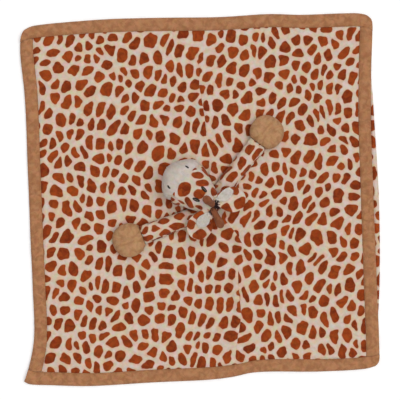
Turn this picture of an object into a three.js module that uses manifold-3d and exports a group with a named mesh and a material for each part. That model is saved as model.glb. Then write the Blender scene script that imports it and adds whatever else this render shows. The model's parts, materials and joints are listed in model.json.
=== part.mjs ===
// A baby's comfort blanket: a square double-layer plush blanket with a small stuffed giraffe head and
// two stuffed arms sewn to its middle. It lies flat, face up, as one lays it down.
// Millimetres, +Z up, +Y the far side of the blanket. The origin is on the surface that it lies on,
// under the middle of the whole toy.
import * as THREE from "three";
import { mergeVertices } from "three/addons/utils/BufferGeometryUtils.js";
import Module from "manifold-3d";

const wasm = await Module();
wasm.setup();

// Sizes that several pieces share
const plushThickness = 1.6;
const seatGap = 0.35;
const seamGap = 0.3;
const fillingGap = 0.6;
const cutOverrun = 4;

// The blanket
const blanketWidth = 361;
const blanketLength = 373;
const borderWidth = 14;
const borderCrown = 0.9;
const edgeRounding = 0.5;
const rolledLipWidth = 5.4;
const rolledLipHeight = 1.5;

// The neck, which is sewn to the blanket's middle, and the way the head lies
const neckX = 8;
const neckY = -2.5;
const neckRadius = 9.5;
const headTurn = THREE.MathUtils.degToRad(140);

// The head, measured along its own axis from the neck's middle
const headBack = -10;
const headSeam = 30;
const headFront = 55;
const headWidth = 44.5;
const headHeight = 39;
const crownLift = 3;
const nodHingeAlong = -7;
const nodHingeHeight = 17;
const nodRange = THREE.MathUtils.degToRad(30);

// The face
const eyeAlong = 10;
const eyeApart = 15;
const eyeLength = 6.4;
const eyeWidth = 3.6;
const eyeRise = 0.9;
const eyeTurn = THREE.MathUtils.degToRad(15);
const highlightLength = 4.2;
const highlightWidth = 1;
const highlightRise = 0.5;
const nostrilAlong = 39.8;
const nostrilApart = 31.5;
const nostrilLength = 3.8;
const nostrilWidth = 1.5;
const nostrilRise = 0.6;

// The ears
const earLength = 30;
const earWidth = 25;
const earRootWidth = 8;
const earCup = 3.4;
const earDroop = 7;
const liningLength = 21;
const liningWidth = 11.5;
const liningThickness = 1.5;
const liningStart = 1.5;
// How far the lining shifts towards the face for each millimetre out along the ear
const liningLean = 0.42;
const liningEndTurn = THREE.MathUtils.degToRad(3.5);
const earTipShare = 0.997;
const earWidestShare = 0.56;
// The lining is widest towards its root, and its outline is fuller than a sine's.
const liningSkewPower = 1.15;
const liningRoundPower = 0.6;

// The horns, and the tuft of yarn behind them
const hornLength = 21;
const hornRootRadius = 3.3;
const hornKnobRadius = 4.5;
const tuftLength = 13.5;
const tuftWidth = 7;
const tuftRise = 3;
const tuftShift = 1;

// The arms and paws, measured along each arm from its root in the neck seam
const armWidth = 20.5;
const armHeight = 13.4;
const shoulderLength = 24;
const armLength = 67;
const pawLength = 30;
const pawWidth = 33.5;
const pawHeight = 15.5;
const pawTipRiseShare = 0.4;

// Heights and depths that follow from how the layers lie on each other
const frontPanelUnder = plushThickness + seamGap;
const blanketTop = frontPanelUnder + plushThickness;
const limbUnder = blanketTop + seatGap;
const fillingDepth = plushThickness + fillingGap;

// A blown-up section is a superellipse of this power, a little squarer than an ellipse.
const sectionPower = 2.25;

// The blanket's edges from corner to corner, as shares of half its width and half its length. It
// lies a little crooked, as soft cloth does.
const leftEdgeShares = [
  [-0.978, -0.976], [-0.965, -0.945], [-0.924, -0.76], [-0.931, -0.46], [-0.942, -0.22],
  [-0.958, 0.17], [-0.975, 0.56], [-1, 0.8], [-0.994, 0.874], [-0.977, 0.911],
];
const rightEdgeShares = [
  [0.969, -0.893], [0.988, -0.867], [0.99, -0.75], [0.981, -0.54], [0.961, -0.03],
  [0.945, 0.42], [0.947, 0.7], [0.953, 0.92], [0.95, 0.955], [0.944, 0.973],
];
const topEdgeShares = [
  [-0.977, 0.911], [-0.942, 0.928], [-0.845, 0.943], [-0.476, 0.97], [0.12, 0.981],
  [0.388, 0.996], [0.554, 0.992], [0.787, 1], [0.875, 1], [0.92, 0.991], [0.944, 0.973],
];
const bottomEdgeShares = [
  [-0.978, -0.976], [-0.95, -0.989], [-0.831, -0.995], [-0.609, -1], [-0.277, -0.981], [0.055, -0.965],
  [0.188, -0.949], [0.277, -0.93], [0.388, -0.922], [0.665, -0.922], [0.92, -0.906], [0.969, -0.893],
];
// The stretch of the right edge where the back layer shows past the border, and its rounded section:
// how far out its crest is, and how high its outer rim
const rolledLipShares = { from: 0.15, to: 0.83 };
const lipCrestShare = 0.4;
const lipRimShare = 0.8;
// A swell and the rolled edge reach their full height soon after their ends.
const fullnessPower = 0.7;

// Two creases run up the front layer, and it swells along stretches of them. Places are shares of
// half the blanket's width and length. A swell has its own height and half width.
const creases = [
  {
    pathShares: [
      [0.19, -1], [0.19, -0.8], [0.215, -0.62], [0.2, -0.46], [0.2, -0.36], [0.235, -0.255],
      [0.19, -0.185], [0.135, -0.115], [0.08, 0.05], [0.035, 0.262], [0.015, 0.44], [-0.015, 0.6],
      [-0.02, 1],
    ],
    swells: [
      { fromShare: -0.86, toShare: -0.29, height: 2.8, halfWidth: 5.2 },
      { fromShare: -0.3, toShare: -0.09, height: 3, halfWidth: 4.6 },
      { fromShare: 0.25, toShare: 0.8, height: 2.4, halfWidth: 6 },
    ],
  },
  {
    pathShares: [[0.66, -1], [0.66, 0.2], [0.65, 0.38], [0.655, 0.56], [0.69, 0.72], [0.7, 1]],
    swells: [{ fromShare: 0.15, toShare: 0.84, height: 1.7, halfWidth: 8 }],
  },
];
const creaseOffsetShares = [-2.3, -1.5, -0.9, -0.45, 0, 0.45, 0.9, 1.5, 2.3];

// Half widths and half heights along each stuffed form, as shares of its length, width and height.
// The head's
const headShares = [
  { along: 0, width: 0, height: 0 },
  { along: 0.012, width: 0.13, height: 0.15 },
  { along: 0.045, width: 0.3, height: 0.32 },
  { along: 0.1, width: 0.44, height: 0.45 },
  { along: 0.2, width: 0.6, height: 0.58 },
  { along: 0.32, width: 0.735, height: 0.68 },
  { along: 0.45, width: 0.86, height: 0.78 },
  { along: 0.56, width: 0.965, height: 0.88 },
  { along: 0.615, width: 0.985, height: 0.925 },
  { along: 0.72, width: 1, height: 1 },
  { along: 0.82, width: 0.92, height: 0.97 },
  { along: 0.91, width: 0.7, height: 0.81 },
  { along: 0.965, width: 0.43, height: 0.54 },
  { along: 0.99, width: 0.2, height: 0.27 },
  { along: 1, width: 0, height: 0 },
];
// The arm's, from its flat sewn root to the wrist
const armShares = [
  { along: 0, width: 0.8, height: 0.42 },
  { along: 0.12, width: 0.84, height: 0.62 },
  { along: 0.3, width: 0.9, height: 0.86 },
  { along: 0.5, width: 0.95, height: 0.97 },
  { along: 0.75, width: 1, height: 1 },
  { along: 0.92, width: 1, height: 0.95 },
  { along: 1, width: 0.97, height: 0.86 },
];
// The paw's, from the wrist to its tip
const pawShares = [
  { along: 0, width: 0.62, height: 0.74 },
  { along: 0.07, width: 0.74, height: 0.84 },
  { along: 0.2, width: 0.91, height: 0.94 },
  { along: 0.38, width: 1, height: 1 },
  { along: 0.6, width: 0.98, height: 0.98 },
  { along: 0.78, width: 0.83, height: 0.84 },
  { along: 0.9, width: 0.62, height: 0.62 },
  { along: 0.97, width: 0.36, height: 0.37 },
  { along: 1, width: 0, height: 0 },
];

// Where the ears and horns are sewn on, as shares of the head's half width there and of its length,
// and which way they point
const ears = {
  left: { alongShare: 0.085, sideShare: 0.84, direction: 104 },
  right: { alongShare: 0.1, sideShare: -0.62, direction: -139 },
};
const horns = {
  left: { alongShare: 0.031, sideShare: 0.55, lean: [-0.84, 0.36, 0.32], bend: -0.75 },
  right: { alongShare: 0.12, sideShare: -0.06, lean: [0.42, 0, 0.9], bend: -0.2 },
};
// Where the arms leave the neck seam, and which way they lie
const arms = {
  left: { rootAngle: 251, direction: 200.5 },
  right: { rootAngle: 36, direction: 52 },
};

const plush = (color) => new THREE.MeshStandardMaterial({ color, roughness: 0.95, metalness: 0 });
const printPlush = plush(0xd8c9b4);
const tanPlush = plush(0xb08458);
const creamPlush = plush(0xd2c4b4);
const whitePlush = plush(0xe2dcd2);
const brownPlush = plush(0x8a5a40);
const darkYarn = plush(0x341a18);
const fibrefill = plush(0xf4f2ee);
const darkThread = new THREE.MeshStandardMaterial({ color: 0x2a211c, roughness: 0.6, metalness: 0 });
const greyThread = new THREE.MeshStandardMaterial({ color: 0x9c9484, roughness: 0.6, metalness: 0 });

// Evenly spaced numbers from one value to another, both ends included
function spaced(from, to, steps) {
  return Array.from({ length: steps + 1 }, (_, i) => from + ((to - from) * i) / steps);
}

// Angles once round, evenly spaced
function roundAngles(sides) {
  return spaced(0, 2 * Math.PI, sides).slice(0, -1);
}

// A manifold solid from points and triangles, turned to face outwards
function solidFrom(points, faces) {
  const raw = new THREE.BufferGeometry().setFromPoints(points);
  raw.setIndex(faces.flat());
  const merged = mergeVertices(raw, 1e-4);
  const spots = merged.getAttribute("position").array;
  const kept = [];
  let volume = 0;
  for (let i = 0; i < merged.index.count; i += 3) {
    const corners = [0, 1, 2].map((k) => merged.index.getX(i + k));
    if (new Set(corners).size < 3) continue;
    kept.push(corners);
    const [p, q, r] = corners.map((n) => new THREE.Vector3().fromArray(spots, n * 3));
    volume += p.dot(q.cross(r));
  }
  const outward = volume < 0 ? kept.map(([a, b, c]) => [a, c, b]) : kept;
  const vertProperties = new Float32Array(spots);
  const triVerts = new Uint32Array(outward.flat());
  return new wasm.Manifold(new wasm.Mesh({ numProp: 3, vertProperties, triVerts }));
}

// A closed surface through rings of equal count. Its two ends are closed, or the last ring joins
// the first where it is a loop.
function ringSolid(rings, isLoop = false) {
  const count = rings[0].length;
  const points = rings.flat();
  const faces = [];
  const bands = isLoop ? rings.length : rings.length - 1;
  for (let r = 0; r < bands; r++) {
    const here = r * count;
    const next = ((r + 1) % rings.length) * count;
    for (let i = 0; i < count; i++) {
      const j = (i + 1) % count;
      faces.push([here + i, here + j, next + j], [here + i, next + j, next + i]);
    }
  }
  const close = (ring, start, flip) => {
    points.push(ring.reduce((sum, p) => sum.add(p), new THREE.Vector3()).divideScalar(count));
    const tip = points.length - 1;
    for (let i = 0; i < count; i++) {
      const j = (i + 1) % count;
      faces.push(flip ? [tip, start + j, start + i] : [tip, start + i, start + j]);
    }
  };
  if (!isLoop) {
    close(rings[0], 0, true);
    close(rings.at(-1), (rings.length - 1) * count, false);
  }
  return solidFrom(points, faces);
}

// The largest body of a solid
function largest(solid) {
  return solid.decompose().sort((a, b) => b.volume() - a.volume())[0];
}

// A named mesh of a solid
function piece(name, solid, material) {
  const mesh = solid.getMesh();
  const geometry = new THREE.BufferGeometry();
  geometry.setAttribute("position", new THREE.BufferAttribute(new Float32Array(mesh.vertProperties), 3));
  geometry.setIndex(new THREE.BufferAttribute(new Uint32Array(mesh.triVerts), 1));
  geometry.computeVertexNormals();
  const made = new THREE.Mesh(geometry, material.clone());
  made.name = name;
  return made;
}

// The blanket lies on a map: (across, along), each 0 to 1, give a place inside its four edges.
function edgeCurve(shares) {
  const half = new THREE.Vector3(blanketWidth / 2, blanketLength / 2, 0);
  const points = shares.map(([x, y]) => new THREE.Vector3(x, y, 0).multiply(half));
  return new THREE.CatmullRomCurve3(points, false, "centripetal");
}
const leftEdge = edgeCurve(leftEdgeShares);
const rightEdge = edgeCurve(rightEdgeShares);
const topEdge = edgeCurve(topEdgeShares);
const bottomEdge = edgeCurve(bottomEdgeShares);

function onBlanket(across, along) {
  const place = bottomEdge.getPointAt(across).multiplyScalar(1 - along);
  place.addScaledVector(topEdge.getPointAt(across), along);
  place.addScaledVector(leftEdge.getPointAt(along), 1 - across);
  place.addScaledVector(rightEdge.getPointAt(along), across);
  place.addScaledVector(bottomEdge.getPointAt(0), -(1 - across) * (1 - along));
  place.addScaledVector(bottomEdge.getPointAt(1), -across * (1 - along));
  place.addScaledVector(topEdge.getPointAt(0), -(1 - across) * along);
  place.addScaledVector(topEdge.getPointAt(1), -across * along);
  return place;
}

// Where a crease is at a distance up the blanket
function creaseX({ pathShares }, y) {
  const share = y / (blanketLength / 2);
  const upper = Math.max(1, pathShares.findIndex((p) => p[1] >= share));
  const [a, b] = [pathShares[upper - 1], pathShares[upper]];
  return (THREE.MathUtils.mapLinear(share, a[1], b[1], a[0], b[0]) * blanketWidth) / 2;
}

// How far the swells lift the front layer at a place
function swellLift(x, y) {
  const share = y / (blanketLength / 2);
  let lift = 0;
  for (const crease of creases) {
    const away = x - creaseX(crease, y);
    for (const { fromShare, toShare, height, halfWidth } of crease.swells) {
      const run = THREE.MathUtils.clamp((share - fromShare) / (toShare - fromShare), 0, 1);
      const crest = height * Math.sin(Math.PI * run) ** fullnessPower;
      lift = Math.max(lift, crest * Math.exp(-((away / halfWidth) ** 2)));
    }
  }
  return lift;
}

// A slab of cloth over a grid of places. Each place has its lower and its upper height.
function clothSlab(grid) {
  const rows = grid.length;
  const columns = grid[0].length;
  const layer = (side) => grid.flat().map((p) => new THREE.Vector3(p.x, p.y, p[side]));
  const points = [...layer("under"), ...layer("over")];
  const under = (r, c) => r * columns + c;
  const over = (r, c) => rows * columns + under(r, c);
  const faces = [];
  const quad = (a, b, c, d) => faces.push([a, b, c], [a, c, d]);
  for (let r = 0; r + 1 < rows; r++) {
    for (let c = 0; c + 1 < columns; c++) {
      quad(over(r, c), over(r, c + 1), over(r + 1, c + 1), over(r + 1, c));
      quad(under(r, c), under(r + 1, c), under(r + 1, c + 1), under(r, c + 1));
    }
    const end = columns - 1;
    quad(under(r + 1, 0), under(r, 0), over(r, 0), over(r + 1, 0));
    quad(under(r, end), under(r + 1, end), over(r + 1, end), over(r, end));
  }
  for (let c = 0; c + 1 < columns; c++) {
    const end = rows - 1;
    quad(under(0, c), under(0, c + 1), over(0, c + 1), over(0, c));
    quad(under(end, c + 1), under(end, c), over(end, c), over(end, c + 1));
  }
  return solidFrom(points, faces);
}

// The back layer lies flat on the floor. Along the right it reaches past the border and rolls up.
function backPanel() {
  const rimX = edgeRounding / blanketWidth;
  const rimY = edgeRounding / blanketLength;
  const cornerShares = [0.02, 0.06];
  const alongs = [0, rimY, ...cornerShares, ...spaced(0, 1, 16).slice(2, -2)];
  alongs.push(...cornerShares.map((share) => 1 - share).reverse(), 1 - rimY, 1);
  const grid = alongs.map((along) => {
    const isEnd = along === 0 || along === 1;
    const flat = (p, rounding) => ({ x: p.x, y: p.y, under: rounding, over: plushThickness - rounding });
    const row = [0, rimX, ...spaced(0, 1, 10).slice(1, -1)].map((across) =>
      flat(onBlanket(across, along), isEnd || across === 0 ? edgeRounding : 0),
    );
    const border = onBlanket(1, along);
    const run = (along - rolledLipShares.from) / (rolledLipShares.to - rolledLipShares.from);
    const lip = rolledLipWidth * Math.sin(Math.PI * THREE.MathUtils.clamp(run, 0, 1)) ** fullnessPower;
    const edge = border.x + lip;
    const seam = Math.min(border.x + seamGap, edge - 2 * edgeRounding);
    const rise = rolledLipHeight * THREE.MathUtils.smoothstep(lip, rolledLipWidth / 4, rolledLipWidth / 2);
    const rim = isEnd ? edgeRounding : 0;
    const crest = THREE.MathUtils.lerp(seam, edge - edgeRounding, lipCrestShare);
    const section = [
      { x: seam, under: rim, over: plushThickness - rim },
      { x: crest, under: rim, over: plushThickness + rise - rim },
      { x: edge - edgeRounding, under: rim, over: plushThickness + rise * lipRimShare - rim },
      { x: edge, under: edgeRounding, over: plushThickness + rise / 2 - edgeRounding },
    ];
    return [...row, ...section.map((place) => ({ ...place, y: border.y }))];
  });
  return piece("back_panel", clothSlab(grid), printPlush);
}

// The border's four strips. place maps (share of a strip's width in from the edge, share of its run)
// to the blanket. The far and near strips run the whole width, and the side strips lie between them.
const stripAcross = borderWidth / blanketWidth;
const stripAlong = borderWidth / blanketLength;
const crowdedRuns = spaced(0, 1, 20).map((s) => (s + (1 - Math.cos(Math.PI * s)) / 2) / 2);
const evenRuns = spaced(stripAlong / 2, 1 - stripAlong / 2, 16);
const stripDepths = spaced(0, 1, 4);
const borderStrips = {
  top: { runs: crowdedRuns, place: (depth, run) => onBlanket(run, 1 - depth * stripAlong) },
  bottom: { runs: crowdedRuns, place: (depth, run) => onBlanket(run, depth * stripAlong) },
  left: { runs: evenRuns, place: (depth, run) => onBlanket(depth * stripAcross, run) },
  right: { runs: evenRuns, place: (depth, run) => onBlanket(1 - depth * stripAcross, run) },
};

// One strip, crowned across, where the seam allowance lies inside it
function borderStrip(side) {
  const { runs, place } = borderStrips[side];
  const grid = stripDepths.map((depth) => runs.map((run) => {
    const { x, y } = place(depth, run);
    const isOuter = depth === 0;
    const crown = borderCrown * Math.sin(Math.PI * depth) + (isOuter ? -edgeRounding : 0);
    return { x, y, under: frontPanelUnder + (isOuter ? edgeRounding : 0), over: blanketTop + crown };
  }));
  const neighbours = runs === evenRuns ? [borderStrips.top, borderStrips.bottom] : [];
  return piece(`border_${side}`, leaveRoom(clothSlab(grid), neighbours), tanPlush);
}

// What is left of a cloth beside some strips, with the seam between
function leaveRoom(cloth, strips) {
  const depths = [...stripDepths, 1 + seamGap / borderWidth];
  const rooms = strips.map(({ runs, place }) => clothSlab(depths.map((depth) => runs.map((run) => {
    const { x, y } = place(depth, run);
    return { x, y, under: -cutOverrun, over: blanketTop + cutOverrun };
  }))));
  return largest(rooms.reduce((left, room) => left.subtract(room), cloth));
}

// The front layer, inside the border. Its grid is fine across the creases and coarse elsewhere.
function frontPanel() {
  const insetX = (borderWidth - cutOverrun) / blanketWidth;
  const insetY = (borderWidth - cutOverrun) / blanketLength;
  const grid = spaced(insetY, 1 - insetY, 18).map((along) => {
    const start = onBlanket(insetX, along);
    const width = onBlanket(1 - insetX, along).x - start.x;
    const groups = creases.map((crease) => {
      const halfWidth = Math.max(...crease.swells.map((s) => s.halfWidth));
      return creaseOffsetShares.map((o) => (creaseX(crease, start.y) + o * halfWidth - start.x) / width);
    });
    const stops = [0];
    const fillerCounts = [6, 4, 2];
    for (const [i, group] of [...groups, [1]].entries()) {
      stops.push(...spaced(stops.at(-1), group[0], fillerCounts[i]).slice(1, -1), ...group);
    }
    return stops.map((stop) => {
      const { x, y } = onBlanket(insetX + stop * (1 - 2 * insetX), along);
      const lift = swellLift(x, y);
      return { x, y, under: frontPanelUnder + lift, over: blanketTop + lift };
    });
  });
  return piece("front_panel", leaveRoom(clothSlab(grid), Object.values(borderStrips)), printPlush);
}

// A stuffed form that lies along +X. middleAt gives its middle's height, from its place along and
// its half height there.
function softForm({ shares, start, length, width, height, middleAt }) {
  const samples = new THREE.CatmullRomCurve3(
    shares.map((s) => new THREE.Vector3(s.along, s.width, s.height)), false, "centripetal",
  ).getPoints(shares.length * 12);
  const sizesAt = (along) => {
    const share = THREE.MathUtils.clamp((along - start) / length, 0, 1);
    const upper = THREE.MathUtils.clamp(samples.filter((p) => p.x < share).length, 1, samples.length - 1);
    const [a, b] = [samples[upper - 1], samples[upper]];
    const mix = a.clone().lerp(b, b.x > a.x ? (share - a.x) / (b.x - a.x) : 0);
    return { halfWidth: (mix.y * width) / 2, halfHeight: (mix.z * height) / 2 };
  };
  const pointAt = (along, angle, letOut = 0) => {
    const { halfWidth, halfHeight } = sizesAt(along);
    const round = (value) => Math.sign(value) * Math.abs(value) ** (2 / sectionPower);
    const across = Math.max(halfWidth + letOut, 0) * round(Math.cos(angle));
    const up = Math.max(halfHeight + letOut, 0) * round(Math.sin(angle));
    return new THREE.Vector3(along, across, middleAt(along, halfHeight) + up);
  };
  const ringAt = (along, letOut, sides) => roundAngles(sides).map((angle) => pointAt(along, angle, letOut));
  return { start, end: start + length, length, sizesAt, pointAt, ringAt };
}

// A whole stuffed form as one solid, let out or taken in all round. A closed end moves with it.
function wholeForm(form, options) {
  const {
    from = form.start, to = form.end, letOut = 0, closedStart = true, closedEnd = true, steps, sides, turn,
  } = options;
  const first = from - (closedStart ? letOut : 0);
  const last = to + (closedEnd ? letOut : 0);
  const easing = (s) => {
    if (closedStart && closedEnd) return (1 - Math.cos(Math.PI * s)) / 2;
    return closedEnd ? Math.sin((Math.PI / 2) * s) : s;
  };
  const rings = spaced(0, 1, steps).map((step, i) => {
    const share = easing(step);
    const isTip = (closedStart && i === 0) || (closedEnd && i === steps);
    const ring = form.ringAt(from + (to - from) * share, isTip ? 0 : letOut, sides);
    return ring.map((p) => p.setX(first + (last - first) * share));
  });
  if (turn) rings.flat().forEach((p) => p.applyMatrix4(turn));
  return ringSolid(rings);
}

// A sewn pouch of plush: closed at one end, and open where the filling goes in
function pouch(form, { closed, open, steps, sides }) {
  const way = Math.sign(closed - open);
  const shares = spaced(0, 1, steps).map((s) => Math.sin((Math.PI / 2) * s));
  const outer = shares.map((s) => form.ringAt(open + (closed - open) * s, 0, sides)).reverse();
  const innerEnd = closed - way * plushThickness;
  const inner = shares.map((s) => {
    const ring = form.ringAt(open + (closed - open) * s, s === 1 ? 0 : -plushThickness, sides);
    return ring.map((p) => p.setX(open + (innerEnd - open) * s));
  });
  return ringSolid([...outer, ...inner]);
}

// A sewn tube of plush, open at both ends
function sleeve(form, { from, to, steps, sides }) {
  const places = spaced(from, to, steps);
  const outer = places.map((along) => form.ringAt(along, 0, sides));
  const inner = places.map((along) => form.ringAt(along, -plushThickness, sides)).reverse();
  return ringSolid([...outer, ...inner], true);
}

// An upright round post, for the neck and for the room that it needs
function post(radius, low, high, x = 0, y = 0) {
  const circle = (height) => roundAngles(24)
    .map((a) => new THREE.Vector3(x + radius * Math.cos(a), y + radius * Math.sin(a), height));
  return ringSolid([circle(low), circle(high)]);
}

// The head lies along its own +X. It rests on its muzzle, and its crown is a little higher.
const head = softForm({
  shares: headShares, start: headBack, length: headFront - headBack, width: headWidth, height: headHeight,
  middleAt: (along) => {
    const rise = THREE.MathUtils.clamp((headSeam - along) / (headSeam - headBack), 0, 1);
    return limbUnder + headHeight / 2 + crownLift * rise;
  },
});
const headRoom = wholeForm(head, { letOut: seatGap, steps: 22, sides: 28 });

// A point on the top of the head, and the way that the surface faces there
function onHead(along, side, letOut = 0) {
  const { halfWidth } = head.sizesAt(along);
  const share = THREE.MathUtils.clamp(side / (halfWidth + letOut), -1, 1);
  return head.pointAt(along, Math.acos(Math.sign(share) * Math.abs(share) ** (sectionPower / 2)), letOut);
}

function outwardOnHead(along, side) {
  const step = headHeight / 100;
  const here = onHead(along, side);
  const ahead = onHead(along + step, side).sub(here);
  const aside = onHead(along, side + step).sub(here);
  return ahead.cross(aside).normalize();
}

function headCovers() {
  return [
    piece("head_cover", pouch(head, {
      closed: headBack, open: headSeam - seamGap / 2, steps: 10, sides: 20,
    }), printPlush),
    piece("muzzle", pouch(head, {
      closed: headFront, open: headSeam + seamGap / 2, steps: 9, sides: 20,
    }), creamPlush),
    piece("head_filling", wholeForm(head, {
      letOut: -fillingDepth, steps: 16, sides: 14,
    }), fibrefill),
  ];
}

// A pad of satin stitch on the head, turned about the way that the surface faces
function stitchedPad(name, material, { along, side, length, width, rise, turn, lift = 0 }) {
  const normal = outwardOnHead(along, side);
  const forward = new THREE.Vector3(1, 0, 0).addScaledVector(normal, -normal.x).normalize();
  const long = forward.applyAxisAngle(normal, turn);
  const short = normal.clone().cross(long);
  const middle = onHead(along, side, seatGap).addScaledVector(normal, lift);
  const rings = spaced(-Math.PI / 2, Math.PI / 2, 6).map((bow) => roundAngles(8).map((angle) => middle.clone()
    .addScaledVector(long, (Math.sin(bow) * length) / 2)
    .addScaledVector(short, (Math.cos(bow) * Math.cos(angle) * width) / 2)
    .addScaledVector(normal, Math.cos(bow) * Math.max(Math.sin(angle), lift ? 0 : -1) * rise)));
  return piece(name, ringSolid(rings).subtract(headRoom), material);
}

function face() {
  return [["left", 1], ["right", -1]].flatMap(([name, sign]) => {
    const eye = { along: eyeAlong, side: (sign * eyeApart) / 2, turn: sign * eyeTurn };
    const highlight = { length: highlightLength, width: highlightWidth, rise: highlightRise };
    return [
      stitchedPad(`${name}_eye`, darkThread, { ...eye, length: eyeLength, width: eyeWidth, rise: eyeRise }),
      stitchedPad(`${name}_eye_highlight`, greyThread, { ...eye, ...highlight, lift: eyeRise + seamGap / 2 }),
      stitchedPad(`${name}_nostril`, darkThread, {
        along: nostrilAlong, side: (sign * nostrilApart) / 2, turn: 0,
        length: nostrilLength, width: nostrilWidth, rise: nostrilRise,
      }),
    ];
  });
}

// Each ear is a cupped leaf of printed plush with a smaller white lining in its hollow. Its root is
// a straight seam on the side of the crown, and it droops outwards.
function earHalfWidth(out) {
  const share = THREE.MathUtils.clamp(out / earLength, 0, 1);
  const past = (share - earWidestShare) / (1 - earWidestShare);
  if (past > 0) return (earWidth / 2) * Math.sqrt(1 - past ** 2);
  const spread = Math.sin(((Math.PI / 2) * share) / earWidestShare);
  return THREE.MathUtils.lerp(earRootWidth, earWidth, spread) / 2;
}

function earHeight(out, across) {
  const share = out / earLength;
  const rim = across / (earWidth / 2);
  const cup = earCup * Math.sin((Math.PI / 2) * Math.min(1, share / earWidestShare)) * rim * rim;
  return cup - earDroop * THREE.MathUtils.smoothstep(share, 0, 1);
}

function earGrid(side, outs, shares, place, under, over) {
  const { alongShare, sideShare, direction } = ears[side];
  const along = head.start + alongShare * head.length;
  const root = onHead(along, sideShare * head.sizesAt(along).halfWidth, seatGap);
  const out = new THREE.Vector2(1, 0).rotateAround(new THREE.Vector2(), THREE.MathUtils.degToRad(direction));
  const aside = new THREE.Vector2(out.y, -out.x).multiplyScalar(Math.sign(sideShare));
  return outs.map((reach) => shares.map((share) => {
    const across = place(reach, share);
    const height = root.z + plushThickness + earHeight(reach, across);
    return {
      x: root.x + out.x * reach + aside.x * across,
      y: root.y + out.y * reach + aside.y * across,
      under: height + under,
      over: height + over,
    };
  }));
}

function earBack(side, letOut = 0) {
  const outs = spaced(0, Math.PI / 2, 9).map((turn) => earLength * earTipShare * Math.sin(turn) - letOut);
  const place = (out, share) => share * (earHalfWidth(out) + letOut);
  return clothSlab(earGrid(side, outs, spaced(-1, 1, 8), place, -plushThickness - letOut, letOut));
}

function earPieces(side) {
  const outs = spaced(liningEndTurn, Math.PI - liningEndTurn, 8)
    .map((turn) => liningStart + (liningLength * (1 - Math.cos(turn))) / 2);
  const place = (out, share) => {
    const run = (out - liningStart) / liningLength;
    const halfWidth = (liningWidth * Math.sin(Math.PI * run ** liningSkewPower) ** liningRoundPower) / 2;
    return liningLean * (out - liningStart) + share * halfWidth;
  };
  const lining = earGrid(side, outs, spaced(-1, 1, 6), place, seamGap, seamGap + liningThickness);
  return [
    piece(`${side}_ear_back`, largest(earBack(side).subtract(headRoom)), printPlush),
    piece(`${side}_ear_lining`, largest(clothSlab(lining).subtract(headRoom)), whitePlush),
  ];
}

// Each horn is a stuffed tube with a round root and a larger round knob. The right one leans over
// the brow, and the left one has flopped back.
function hornSolid(side, letOut = 0) {
  const { alongShare, sideShare, lean, bend } = horns[side];
  const along = head.start + alongShare * head.length;
  const aside = sideShare * head.sizesAt(along).halfWidth;
  const middle = onHead(along, aside, seatGap).addScaledVector(outwardOnHead(along, aside), hornRootRadius);
  const start = new THREE.Vector3(...lean).normalize();
  const end = start.clone().setZ(start.z + bend).normalize();
  const reach = hornLength - hornRootRadius - hornKnobRadius;
  const turnAt = middle.clone().addScaledVector(start, reach / 2);
  const tip = turnAt.clone().addScaledVector(end, reach / 2);
  const path = new THREE.QuadraticBezierCurve3(middle, turnAt, tip);
  const level = new THREE.Vector3(-start.y, start.x, 0).normalize();
  const ring = (place, radius, shift) => {
    const forward = path.getTangentAt(place);
    const up = forward.clone().cross(level).normalize();
    const middleOfRing = path.getPointAt(place).addScaledVector(forward, shift);
    return roundAngles(12).map((angle) => middleOfRing.clone()
      .addScaledVector(level, radius * Math.cos(angle))
      .addScaledVector(up, radius * Math.sin(angle)));
  };
  const rootRadius = hornRootRadius + letOut;
  const knobRadius = hornKnobRadius + letOut;
  const cap = spaced(0, Math.PI / 2, 3);
  return ringSolid([
    ...cap.map((turn) => ring(0, rootRadius * Math.sin(turn), -rootRadius * Math.cos(turn))),
    ...spaced(0, 1, 5).slice(1, -1).map((place) => {
      const swell = THREE.MathUtils.smoothstep(place, 0, 1);
      return ring(place, THREE.MathUtils.lerp(rootRadius, knobRadius, swell), 0);
    }),
    ...cap.map((turn) => ring(1, knobRadius * Math.cos(turn), knobRadius * Math.sin(turn))),
  ]);
}

function hornsAndTuft() {
  const along = head.start + tuftWidth / 2;
  const rings = spaced(-Math.PI / 2, Math.PI / 2, 8).map((bow) => {
    const aside = tuftShift + (Math.sin(bow) * tuftLength) / 2;
    const middle = onHead(along, aside, seatGap);
    return roundAngles(10).map((angle) => new THREE.Vector3(
      along + (Math.cos(bow) * Math.cos(angle) * tuftWidth) / 2,
      aside,
      middle.z + Math.cos(bow) * Math.sin(angle) * tuftRise,
    ));
  });
  const beside = ["left", "right"].flatMap((side) => [hornSolid(side, seamGap), earBack(side, seamGap)]);
  const tuft = [headRoom, ...beside].reduce((left, solid) => left.subtract(solid), ringSolid(rings));
  return [
    piece("left_horn", hornSolid("left"), brownPlush),
    piece("right_horn", hornSolid("right"), brownPlush),
    piece("mane_tuft", largest(tuft), darkYarn),
  ];
}

// The neck is a short sleeve with its filling. Its top gives the head room to nod.
function neck() {
  const top = limbUnder + headHeight / 2;
  const clear = (solid) => spaced(0, nodRange, 4).reduce((left, angle) => {
    const turn = new THREE.Matrix4().makeTranslation(nodHingeAlong, 0, nodHingeHeight)
      .multiply(new THREE.Matrix4().makeRotationY(-angle))
      .multiply(new THREE.Matrix4().makeTranslation(-nodHingeAlong, 0, -nodHingeHeight));
    return left.subtract(wholeForm(head, { letOut: seatGap, steps: 22, sides: 28, turn }));
  }, solid);
  const lowest = (solid) => clear(solid).decompose()
    .sort((a, b) => a.boundingBox().min[2] - b.boundingBox().min[2])[0];
  const inner = neckRadius - plushThickness;
  const bore = post(inner, limbUnder - cutOverrun, top + cutOverrun);
  return [
    piece("neck_sleeve", lowest(post(neckRadius, limbUnder, top).subtract(bore)), printPlush),
    piece("neck_filling", lowest(post(inner - seamGap, limbUnder, top)), fibrefill),
  ];
}

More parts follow.
